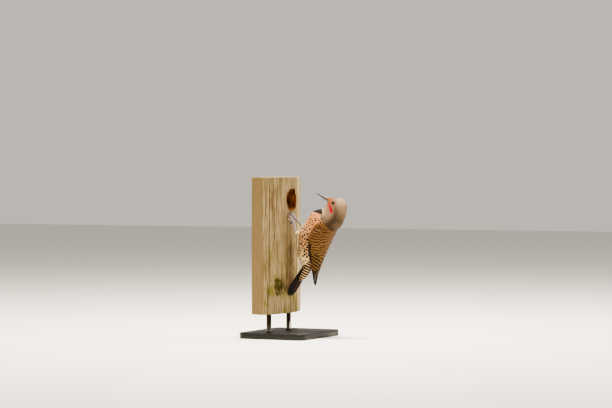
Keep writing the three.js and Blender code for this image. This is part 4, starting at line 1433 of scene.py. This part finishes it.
def make_bill():
    """The two halves of the bill, each closed by a flat face where they meet."""
    horn = horn_material()
    for up, name in ((1, "bill_upper"), (-1, "bill_lower")):
        long = BILL_LENGTH if up > 0 else BILL_LENGTH - 1.2
        shaft = np.linspace(-BILL_SUNK, long * 0.9, 34)
        point = long * (1 - 0.1 * np.linspace(0.85, 0, 8) ** 1.6)
        along, turn = np.meshgrid(np.concatenate([shaft, point]), np.linspace(0, np.pi, 25), indexing="ij")
        arc = bill_place(along, turn, up)
        floor = between(arc[:, -1:], arc[:, :1], np.linspace(0.07, 0.93, 7)[None, :, None])
        floor = floor + up * 0.03 * BILL_UP
        points, faces = loft(np.concatenate([arc, floor], 1))
        q = points - BILL_ROOT
        # how near the top of the upper half each point lies, for its painted highlight
        ridge_highlight = (q @ BILL_UP) / (BILL_DEPTH / 2) * (up > 0)
        marks_and_shading = np.stack([(q @ BILL_ALONG) / long, ridge_highlight, 0 * ridge_highlight], 1)
        make_piece(name + "_horn", points, faces, horn, "horn", (name,), Worn=marks_and_shading)


NASAL_BRISTLES = 70


def make_nasal_tufts():
    """Fine feathers that lie forward from the forehead over the nostrils."""
    rng = np.random.default_rng(71)
    coat = Coat()
    s, t, under, faces = vane_shape(4, 1)
    many = NASAL_BRISTLES
    turn = rng.uniform(0.2, 1.1, (many, 1))
    turn = np.where(rng.uniform(0, 1, (many, 1)) < 0.5, turn, np.pi - turn)
    start = rng.uniform(-3, 1.2, (many, 1))
    long = rng.uniform(3.6, 6.8, (many, 1))
    taper = 0.26 * (1 - s**2) + 0.02
    along = start + long * s
    sway = turn + rng.normal(0, 0.05, (many, 1)) * s + taper * t / 4.4
    place = bill_place(along, sway, 1)
    out = unit(place - (BILL_ROOT + along[..., None] * BILL_ALONG))
    rise = rng.uniform(0.1, 0.45, (many, 1)) * (0.5 + s) - 0.07 * under
    points = place + rise[..., None] * out
    tint = np.broadcast_to(between(FOREHEAD, FACE, 0.45), points.shape)
    tint = tint * rng.uniform(0.45, 1.0, (many, 1, 1))
    vane = vane_map(t, s, many)
    cell = np.stack([np.arange(many) % 9, np.arange(many) // 9], 1)[:, None] / 9
    coat.add(points, faces, under, out, vane, cell + 0.01 + 0.08 * vane, tint)
    coat.make("coat_nasal_tufts", "plumage_head")


# ---- eyes
IRIS_RADIUS = 4.3
PUPIL_RADIUS = 2.5


def eye_material():
    """A black pupil in a dark brown iris, under one glossy surface."""
    g = Graph("eye_gloss")
    wide = g.parts("Gaze")[0]
    iris = g.mix(g.noise(700.0, 2.0), colour(24, 10, 5), colour(46, 21, 10))
    base = g.layer(colour(4, 3, 3), wide, PUPIL_RADIUS - 0.25, PUPIL_RADIUS + 0.15, 1.0, iris)
    base = g.layer(base, wide, IRIS_RADIUS - 0.4, IRIS_RADIUS + 0.1, 1.0, colour(24, 16, 13))
    return g.finish(base, 0.04)


def lid_material():
    """The bare grey skin round the eye."""
    g = Graph("eyelid_skin")
    fold = g.noise(1400.0, 3.0)
    base = g.mix(fold, colour(44, 40, 42), colour(84, 78, 78))
    g.bump(fold, 0.5, 0.0002)
    return g.finish(base, 0.6)


def make_eyes():
    """An eyeball on each side, and the rings of bare skin round it."""
    gloss, lid_skin = eye_material(), lid_material()
    for side, name in ((-1, "left"), (1, "right")):
        gaze = GAZE * [1, side, 1]
        across = unit(np.cross(gaze, [0, 0, 1.0]))
        over = np.cross(gaze, across)
        middle = EYE_AT * [1, side, 1]
        tilt = np.linspace(0, np.pi, 41)
        turn = np.linspace(0, 2 * np.pi, 48, endpoint=False)
        # a round ball with the cornea standing a little proud of it
        bulge = EYE_RADIUS * (1 - 0.02 + 0.05 * np.exp(-((tilt / 0.72) ** 4)))
        rings = middle + (bulge * np.cos(tilt))[:, None, None] * gaze
        rings = rings + (bulge * np.sin(tilt))[:, None, None] * around(turn, across, over)
        points, faces = loft(rings[1:-1])
        q = points - middle
        depth = q @ gaze
        wide = np.where(depth > 0, np.linalg.norm(q - depth[:, None] * gaze, axis=1), 9.0)
        mark = np.stack([wide, depth, 0 * wide], 1)
        make_piece("eyeball_" + name, points, faces, gloss, "eye", ("eye_" + name,), Gaze=mark)
        rows = []
        for k in range(5):  # the rim of the lids, and finer folds of bare skin round it
            reach = EYE_OPENING + 0.42 * k
            rise = math.sqrt(max(0.1, (EYE_RADIUS + 0.12) ** 2 - reach**2))
            squeeze = 1 - 0.05 * np.abs(np.sin(turn))
            line = middle + rise * gaze + reach * (
                np.cos(turn)[:, None] * across + (np.sin(turn) * squeeze)[:, None] * over)
            if k:
                line = draw_on(body_field, line, np.maximum(body_field(line), -0.75), 3)
            rows.append(ring_tube(line, gaze, 0.34 - 0.02 * k, seed=k))
        points, faces = joined(rows)
        make_piece("eyelids_" + name, points, faces, lid_skin, "leg_skin")


def ring_tube(line, axis, radius, seed=0, sides=8):
    """A closed ring of round section along a closed line."""
    out = unit(line - line.mean(0))
    turn = np.linspace(0, 2 * np.pi, sides, endpoint=False)
    crease = 1 + 0.22 * np.sin(np.arange(len(line)) * 2.4 + seed)[:, None, None]
    rings = line[:, None] + radius * crease * around(turn[None], out[:, None], axis)
    many = len(line)
    at = np.arange(many * sides).reshape(many, sides)
    next_, up = np.roll(at, -1, 0), np.roll(at, -1, 1)
    diagonal = np.roll(next_, -1, 1)
    tris = np.concatenate([np.stack([at, next_, diagonal], -1).reshape(-1, 3),
                           np.stack([at, diagonal, up], -1).reshape(-1, 3)])
    points = rings.reshape(-1, 3)
    a, b, c = (points[tris[:, k]] - points.mean(0) for k in range(3))
    return points, tris if (a * np.cross(b, c)).sum() > 0 else tris[:, ::-1]


# ---- legs
def leg_material():
    """Grey scaled skin, pale on the plates, with painted shade darkening the grooves between them."""
    g = Graph("leg_scales")
    cells = g.add("ShaderNodeTexVoronoi", "Distance", {"Scale": 900.0, "Vector": g.place()})
    groove = g.parts("Worn")[0]
    base = g.mix(g.noise(300.0, 4.0), colour(96, 90, 100), colour(158, 148, 158))
    base = g.layer(base, cells, 0.0, 0.5, 0.3, colour(176, 168, 174))
    # painted shade in the grooves between the scales
    base = g.layer(base, groove, 0.0, 1.0, 0.75, colour(50, 44, 50))
    g.bump(cells, 0.5, 0.0003)
    return g.finish(base, 0.6)


def claw_material():
    g = Graph("claw_horn")
    streak = g.noise(500.0, 3.0, (1.0, 1.0, 6.0))
    base = g.mix(streak, colour(36, 33, 32), colour(92, 84, 78))
    g.bump(streak, 0.2, 0.0001)
    return g.finish(base, 0.35, Coat_Weight=0.2)


def pole_face(y):
    """The x of the pole's round face, y mm to the side."""
    return math.sqrt(POLE_RADIUS**2 - y * y) - POLE_RADIUS


def toe_line(leg, toe):
    """The middle line of a toe: its root in the palm, its arched middle, and its end on the wood."""
    _, ankle, root = leg_points(leg)
    start = root + unit(root - ankle) * PALM_LENGTH / 2
    y = start[1] + leg["side"] * toe[0]
    tip = np.array([pole_face(y) + TOE_RADIUS + TOE_CLEARANCE, y, root[2] + toe[1]])
    middle = between(start, tip, 0.55) + [TOE_ARCH, 0, 0]
    return np.array([start, middle, tip])


def scaled_tube(line, radius, sides, scute, front):
    """A limb ringed by overlapping scutes on its outer side and finely netted on the other."""
    long = np.linalg.norm(np.diff(line, axis=0), axis=1).sum()

    def relief(share, turn):
        step = (share * long / scute) % 1.0
        outer = np.clip(0.5 + 0.9 * np.cos(turn - front), 0, 1)
        plates = 0.1 * (step**0.6 - 0.75)
        net = 0.05 * np.sin(share * long * 7.5) * np.sin(turn * 6)
        return outer * plates + (1 - outer) * net

    share = np.linspace(0, 1, len(line))[:, None]
    turn = np.linspace(0, 2 * np.pi, sides, endpoint=False)[None]
    # how low the relief lies, which the skin's material darkens as painted shade
    low = np.clip(-relief(share, turn) / 0.1, 0, 1).ravel()
    low = np.concatenate([low, [0, 0]])
    return tube(line, radius, sides, relief), np.stack([low, 0 * low, 0 * low], 1)


# How many rings make each limb.
SHANK_STEPS = 120
PALM_STEPS = 30
TOE_STEPS = 110
CLAW_STEPS = 30
CLAW_TIP_CLEARANCE = 0.4


def claw_groove(share, turn):
    """A claw is a little flattened."""
    return 0.08 * np.cos(2 * turn)


def make_legs():
    """The scaled shank of each leg, its toes in one piece, and its claws."""
    scales, horn = leg_material(), claw_material()
    for name, leg in LEGS.items():
        _, ankle, root = leg_points(leg)
        along = unit(root - ankle)
        line = np.linspace(ankle - along * 1.0, root + along * 1.5, SHANK_STEPS)
        share = np.linspace(0, 1, SHANK_STEPS)
        radius = TARSUS_RADIUS * (1 + 0.25 * (2 * share - 1) ** 2)
        shank, marks_and_shading = scaled_tube(line, radius, 28, 2.0, 2.2)
        make_piece("shank_" + name, *shank, scales, "leg_skin", ("tarsus_" + name,), Worn=marks_and_shading)
        palm_line = smooth_line([root + along * reach for reach in (-0.8, 1.7, 3.6)], PALM_STEPS)
        swell = 1.12 + 0.3 * np.sin(np.pi * np.linspace(0, 1, PALM_STEPS))
        limbs = [scaled_tube(palm_line, TARSUS_RADIUS * swell, 22, 1.3, 2.2)]
        for toe in TOES:
            joints = 4 if abs(toe[1]) > 8 else 3
            line = smooth_line(toe_line(leg, toe), TOE_STEPS)
            share = np.linspace(0, 1, TOE_STEPS)
            thick = TOE_RADIUS * (1.1 - 0.24 * share) * (1 + 0.13 * np.cos(share * joints * 2 * np.pi))
            close = np.sqrt(np.clip(1 - (np.maximum(share - 0.93, 0) / 0.08) ** 2, 0.05, 1))
            limbs.append(scaled_tube(line, thick * close, 20, 1.05, 0.0))
        make_piece("toes_" + name, *joined([limb for limb, _ in limbs]), scales, "leg_skin",
                   ("foot_" + name,), Worn=np.concatenate([marks_and_shading for _, marks_and_shading in limbs]))
        for k, toe in enumerate(TOES):
            turns = toe_line(leg, toe)
            last_step = smooth_line(turns, 54)[-2:]
            way = unit(last_step[1] - last_step[0])
            flat = unit(way * [0, 1, 1])
            end = turns[2] + flat * CLAW_REACH
            end[0] = pole_face(end[1]) + CLAW_TIP_CLEARANCE
            start = turns[2] - way * 0.6
            crest = between(turns[2], end, 0.5)
            crest[0] = max(turns[2][0], end[0]) + CLAW_ARCH
            line = smooth_line([start, crest, end], CLAW_STEPS)
            share = np.linspace(0, 1, CLAW_STEPS)
            thick = between(TOE_RADIUS * 0.82, 0.09, share**0.85)
            number = f"{name}_{k + 1}"
            points, faces = tube(line, thick, 14, claw_groove)
            make_piece("talon_" + number, points, faces, horn, "claw", ("claw_" + number,))


make_bill()
make_nasal_tufts()
make_eyes()
make_legs()


# ---- the slab of old pole
SLAB_HALF_ANGLE = math.radians(23)
SLAB_DEPTH = 60
SLAB_LENGTH = 340
SLAB_BELOW_TAIL = 40
PIT_AT = (17, 243)  # each place on the face is in mm across it and above the tail tip
PIT_HALF = (29, 26)
PIT_DEPTH = 16
PALE_FROM, PALE_TO = 60, 90  # a strip of fresher wood, in mm across the face
CHECK_WIDTH = 3.2
CHECK_DEPTH = 24
# Each long crack: degrees round the pole, and where it starts and ends.
CHECKS = [(-14, 130, 245), (-19, -60, 70), (5, -60, 60), (15.5, 130, 330)]
MOSS_AT = (-46, 27)
MOSS_HALF = (30, 30)
# where grime lies under the bird, darkened also as the bird's painted shadow
GRIME_AND_SHADOW_AT = (8, 104)
GRIME_AND_SHADOW_HALF = (38, 48)


def wood_cloud(y, z, wide, tall, seed, layer=0):
    """Smooth noise on the face of the slab, in lumps of this width and height in mm."""
    return cloud(np.stack([y / wide, 0 * y + layer, z / tall], -1), seed)


def oval(y, z, at, half):
    """1 in the middle of an oval on the face of the slab, 0 at its edge and less outside it."""
    return 1 - ((y - at[0]) / half[0]) ** 2 - ((z - at[1]) / half[1]) ** 2


def wood_relief(y, z):
    """How deep the weathered face of the slab lies below the pole's round, and how far it is decayed."""
    sway = 3 * wood_cloud(y, z, 40, 90, 2)
    depth = np.abs(wood_cloud(y + sway, z, 2.1, 60, 6)) * 0.9
    depth = depth + np.abs(wood_cloud(y, z, 0.8, 26, 7, 5)) * 0.45
    depth = depth + np.maximum(wood_cloud(y, z, 14, 70, 8), 0) * 1.2
    turn = np.degrees(np.arcsin(np.clip(y / POLE_RADIUS, -1, 1)))
    for angle, low, high in CHECKS:
        open_ = np.sin(np.pi * np.clip((z - low) / (high - low), 0, 1))
        wander = 1.2 * wood_cloud(z, 0 * z + angle, 22, 1, 9) * (open_ > 0)
        off = np.abs((turn - angle) * np.radians(1) * POLE_RADIUS - wander)
        half = np.maximum(CHECK_WIDTH / 2 * open_, 0.01)
        depth = depth + CHECK_DEPTH * open_ * np.clip(1 - off / half, 0, 1) * (open_ > 0.03)
    inside = oval(y, z, PIT_AT, PIT_HALF)
    splinter = wood_cloud(y, z, 2.6, 24, 10)
    upright = np.abs(z - PIT_AT[1]) / PIT_HALF[1]
    chipped = 0.34 * splinter * ramp(upright, 0.3, 0.9) + 0.08 * wood_cloud(y, z, 9, 14, 14)
    pit = PIT_DEPTH * np.sqrt(np.clip(inside + chipped, 0, 1))
    pit = pit * (1 + 0.1 * splinter + 0.07 * wood_cloud(y, z, 1.4, 15, 11))
    decay = ramp(inside + 0.3 * splinter, -0.5, 0.1)
    return np.maximum(depth, pit + depth * 0.6), decay


def wood_growth_and_shadow(y, z):
    """Moss by the tail's tip, grime where the bird rests, darkened also as the bird's painted shadow, and
    how green the wood is: all 0 to 1.
    """
    broad = wood_cloud(y, z, 5, 9, 16)
    patchy = wood_cloud(y, z, 1.8, 4, 19)
    moss = ramp(oval(y, z, MOSS_AT, MOSS_HALF) + 0.5 * broad + 0.5 * patchy, 0.1, 1.1)
    streak = wood_cloud(y, z, 3, 40, 17)
    grime_and_shadow = ramp(oval(y, z, GRIME_AND_SHADOW_AT, GRIME_AND_SHADOW_HALF) + 0.5 * broad + 0.4 * streak, 0, 1)
    return np.stack([moss, grime_and_shadow, 1 - ramp(z + 30 * broad, -30, 190)], -1)


def wood_material():
    """Grey weathered wood with straight grain, green algae where the wood stays wet, grime with the bird's
    painted shadow in it, rot in the pit, and painted shade in its grooves, cracks and pits.
    """
    g = Graph("old_wood")
    # depth drives painted shade in the grooves, cracks and pits; decay and fresh are the wood's own marks
    depth, decay, fresh = g.parts("Worn")
    moss, grime_and_shadow, green = g.parts("Growth")
    broad = g.noise(24.0, 3.0, (1.0, 1.0, 0.12))
    fibre = g.noise(500.0, 4.0, (1.0, 1.0, 0.04))
    stain = g.noise(34.0, 4.0, (1.0, 1.0, 0.35))
    algae = g.noise(52.0, 5.0, (1.0, 1.0, 0.6))
    streak = g.noise(150.0, 3.0, (1.0, 1.0, 0.05))
    hair = g.noise(260.0, 2.0, (1.0, 1.0, 0.012))
    base = g.mix(broad, colour(154, 134, 98), colour(212, 192, 154))
    base = g.layer(base, fibre, 0.42, 0.7, 0.8, colour(118, 98, 68))
    base = g.layer(base, streak, 0.5, 0.68, 0.55, colour(102, 80, 50))
    base = g.layer(base, stain, 0.58, 0.74, 0.5, colour(112, 76, 42))
    green = g.times(g.smooth(algae, 0.42, 0.66, 0.0, 0.8), g.plus(0.25, g.times(green, 0.75)))
    base = g.mix(green, base, colour(122, 118, 42))
    # grime under the bird, and the bird's painted shadow on the wood
    base = g.mix(g.times(grime_and_shadow, 0.42), base, colour(92, 72, 42))
    base = g.mix(g.times(fresh, 0.85), base, g.mix(streak, colour(236, 220, 178), colour(190, 164, 112)))
    # darker where the face lies deeper: painted shade in the grooves of the grain
    base = g.layer(base, depth, 0.9, 3.2, 0.55, colour(74, 54, 34))
    tuft = g.layer(colour(26, 21, 8), g.noise(420.0, 4.0), 0.4, 0.62, 1.0, colour(88, 72, 30))
    base = g.mix(g.times(moss, 0.9), base, tuft)
    base = g.layer(base, hair, 0.62, 0.68, 0.7, colour(62, 46, 28))
    rot = g.layer(colour(134, 80, 36), streak, 0.35, 0.65, 1.0, colour(60, 33, 16))
    rot = g.layer(rot, fibre, 0.45, 0.7, 0.6, colour(168, 116, 62))
    base = g.layer(base, g.plus(decay, g.swing(streak, 0.9)), 0.35, 0.6, 1.0, rot)
    # cracks and deep places darkened by their depth: painted shade
    shaded_cracks = g.times(g.smooth(depth, 3.5, 9.0, 0.0, 0.9), g.less(1.0, decay))
    shaded_pits = g.smooth(depth, 8.0, 18.0, 0.0, 0.8)
    base = g.mix(g.math("MAXIMUM", shaded_cracks, shaded_pits), base, colour(28, 17, 10))
    thread = g.smooth(g.noise(1300.0, 3.0, (1.0, 1.0, 0.03)), 0.34, 0.66, 0.78, 1.12)
    base = g.mix(1.0, base, thread, "MULTIPLY")
    g.bump(g.plus(g.plus(fibre, thread), g.times(broad, 0.5)), 0.55, 0.0007)
    return g.finish(base, 0.88, Specular_IOR_Level=0.25)


def end_grain_material():
    """The sawn ends, sides and back: growth rings about the old pole's heart."""
    g = Graph("sawn_wood")
    to_heart = (POLE_RADIUS * MM, 0, 0)
    heart = g.add("ShaderNodeVectorMath", inputs={0: g.place(), 1: to_heart}, operation="ADD")
    across = g.add("ShaderNodeVectorMath", inputs={0: heart, 1: (1.0, 1.0, 0.0)}, operation="MULTIPLY")
    length = g.add("ShaderNodeVectorMath", "Value", {0: across}, operation="LENGTH")
    ring = g.plus(g.times(length, 420.0), g.times(g.noise(18.0, 2.0), 1.6))
    wave = g.smooth(g.math("PINGPONG", ring, 0.5), 0.1, 0.45)
    fibre = g.noise(420.0, 4.0, (1.0, 1.0, 0.06))
    base = g.mix(wave, colour(122, 100, 68), colour(164, 142, 104))
    base = g.layer(base, fibre, 0.5, 0.75, 0.5, colour(110, 88, 62))
    g.bump(g.plus(wave, fibre), 0.3, 0.0004)
    return g.finish(base, 0.85, Specular_IOR_Level=0.25)


CAP_SHARES = (0.97, 0.8, 0.55, 0.3, 0.1)  # the sizes of the rings that close the slab's ends
CAP_RINGS = len(CAP_SHARES)
PERCH_GRID = (300, 250)  # points across the round face, and up it


def make_perch():
    """The slab: a grid for its round face, and one for each sawn side and end."""
    columns, rows = PERCH_GRID
    turn = np.linspace(-SLAB_HALF_ANGLE, SLAB_HALF_ANGLE, columns)
    level = np.linspace(-SLAB_BELOW_TAIL, SLAB_LENGTH - SLAB_BELOW_TAIL, rows)
    a, z = np.meshgrid(turn, level)
    y = POLE_RADIUS * np.sin(a)
    depth, decay = wood_relief(y, z)
    growth = wood_growth_and_shadow(y, z)
    clump = wood_cloud(y, z, 2.6, 3.4, 18)
    depth = depth - growth[..., 0] * (1.3 + 1.2 * clump)
    radius = POLE_RADIUS - depth
    front = np.stack([radius * np.cos(a) - POLE_RADIUS, radius * np.sin(a), z], -1)
    # rings round the block: the round face, a side, the back and the other side
    share = np.linspace(0, 1, 12)[1:-1][None, :, None]
    right, left = front[:, -1:], front[:, :1]
    half_back = (POLE_RADIUS - SLAB_DEPTH) * math.tan(SLAB_HALF_ANGLE)
    back_right = np.stack([0 * level - SLAB_DEPTH, 0 * level + half_back, level], -1)[:, None]
    back_left = back_right * [1, -1, 1]
    wide = np.linspace(0, 1, 60)[None, :, None]
    ring = np.concatenate([front, between(right, back_right, share), between(back_right, back_left, wide),
                           between(back_left, left, share)], 1)
    many = ring.shape[1]
    marks_and_shading = np.zeros((*ring.shape[:2], 3))
    marks_and_shading[:, :columns, 0] = depth
    marks_and_shading[:, :columns, 1] = decay
    strip = y + 3 * wood_cloud(0 * y, z, 1, 30, 15)
    marks_and_shading[:, :columns, 2] = ramp(strip, PALE_FROM, PALE_FROM + 4) * (1 - ramp(strip, PALE_TO - 4, PALE_TO))
    grown_and_shaded = np.zeros(marks_and_shading.shape)
    grown_and_shaded[:, :columns] = growth
    # the block is closed by rings that shrink to the middle of each end
    caps = []
    for end in (ring[0], ring[-1]):
        middle = end.mean(0)
        caps.append([middle + (end - middle) * k for k in CAP_SHARES])
    whole = np.concatenate([np.array(caps[0])[::-1], ring, np.array(caps[1])])
    extra = np.zeros((CAP_RINGS, many, 3))
    points, faces = loft(whole)
    marks_and_shading, grown_and_shaded = (
        np.concatenate([np.concatenate([extra, marks, extra]).reshape(-1, 3), np.zeros((2, 3))])
        for marks in (marks_and_shading, grown_and_shaded)
    )
    piece = make_piece("perch_wood", points, faces, wood_material(), "old_wood", ("perch",),
                       Worn=marks_and_shading, Growth=grown_and_shaded)
    mesh = piece.data
    mesh.materials.append(end_grain_material())
    row = faces.min(1) // many
    sawn = (row < CAP_RINGS) | (row >= CAP_RINGS + rows - 1) | (faces % many >= columns).any(1)
    mesh.polygons.foreach_set("material_index", sawn.astype(np.int32))


make_perch()


# ---- stand
def stand_material():
    """Dark satin paint."""
    g = Graph("stand_paint")
    orange_peel = g.noise(900.0, 2.0)
    wear = g.noise(40.0, 4.0)
    base = g.mix(wear, colour(30, 29, 28), colour(44, 42, 40))
    g.bump(orange_peel, 0.12, 0.0002)
    return g.finish(base, g.smooth(wear, 0.3, 0.7, 0.34, 0.5))


def rod_material():
    """Brushed steel."""
    g = Graph("brushed_steel")
    lines = g.noise(2400.0, 2.0, (1.0, 1.0, 0.02))
    base = g.mix(lines, colour(150, 150, 150), colour(200, 200, 198))
    g.bump(lines, 0.15, 0.0001)
    return g.finish(base, g.smooth(lines, 0.3, 0.7, 0.24, 0.36), Metallic=1.0)


BASE_DEPTH = 180
BASE_WIDTH = 220
BASE_THICK = 15
BASE_CORNER = 18
BASE_BEVEL = 1.5
ROD_RADIUS = 6
ROD_LENGTH = 45
ROD_SPACING = 110
# The collar and the rod: heights above the plate, and radii.
ROD_PROFILE = [
    (0.0, 11.0), (1.6, 11.0), (2.4, 10.2), (2.6, 7.4), (3.0, ROD_RADIUS), (ROD_LENGTH, ROD_RADIUS),
]


def plate_ring(r, z):
    """An oblong with corners of radius r, z above the floor."""
    ring = []
    corners = ((1, 1), (-1, 1), (-1, -1), (1, -1))
    for k, (sx, sy) in enumerate(corners):
        x, y = sx * (BASE_DEPTH / 2 - BASE_CORNER), sy * (BASE_WIDTH / 2 - BASE_CORNER)
        for t in np.linspace(0, np.pi / 2, 13) + k * np.pi / 2:
            ring.append((x + r * math.cos(t), y + r * math.sin(t), z - TAIL_LEVEL))
    return ring


def make_stand():
    """A plate with rounded corners and edges, and two rods with collars."""
    edge = [(math.sin(t), math.cos(t)) for t in np.linspace(0, np.pi / 2, 6)]
    levels = [(1 - s, BASE_BEVEL * (1 - c)) for s, c in edge]
    levels += [(1 - c, BASE_THICK - BASE_BEVEL * (1 - s)) for s, c in edge]
    rings = [plate_ring(BASE_CORNER - BASE_BEVEL * inset, z) for inset, z in levels]
    make_piece("stand_plate", *loft(rings), stand_material(), "stand", ("stand_base",))
    steel = rod_material()
    turn = np.linspace(0, 2 * np.pi, 48, endpoint=False)
    for side, name in ((-1, "left"), (1, "right")):
        middle = np.array([-SLAB_DEPTH / 2, side * ROD_SPACING / 2, BASE_THICK - TAIL_LEVEL])
        rings = [[middle + [r * math.cos(t), r * math.sin(t), z] for t in turn] for z, r in ROD_PROFILE]
        make_piece("stand_post_" + name, *loft(rings), steel, "rod", ("stand_rod_" + name,))


make_stand()


# ---- stage and light
def make_stage():
    """A pale floor and a soft warm studio."""
    bpy.ops.mesh.primitive_plane_add(size=14, location=(0, 2, 0))
    floor = bpy.context.object
    floor.name = "floor"
    g = Graph("floor")
    floor.data.materials.append(g.finish(colour(226, 224, 220), 0.9))
    world = bpy.data.worlds.new("studio")
    world.use_nodes = True
    world.node_tree.nodes["Background"].inputs[0].default_value = (1.0, 0.95, 0.87, 1)
    world.node_tree.nodes["Background"].inputs[1].default_value = 0.5
    bpy.context.scene.world = world
    bpy.context.scene.view_settings.look = "AgX - High Contrast"


def add_light(name, place, target, size, power, tint):
    """A square lamp that faces the target."""
    data = bpy.data.lights.new(name, "AREA")
    data.size = size
    data.energy = power
    data.color = tint
    light = bpy.data.objects.new(name, data)
    light.location = place
    light.rotation_euler = (Vector(place) - Vector(target)).to_track_quat("Z", "Y").to_euler()
    bpy.context.scene.collection.objects.link(light)


make_stage()
BIRD = (0.08, 0, 0.28)
add_light("key", (0.0, -0.15, 2.6), BIRD, 0.8, 175, (1.0, 0.92, 0.8))
add_light("rim", (0.7, 1.3, 1.9), BIRD, 0.6, 15, (1.0, 0.95, 0.88))
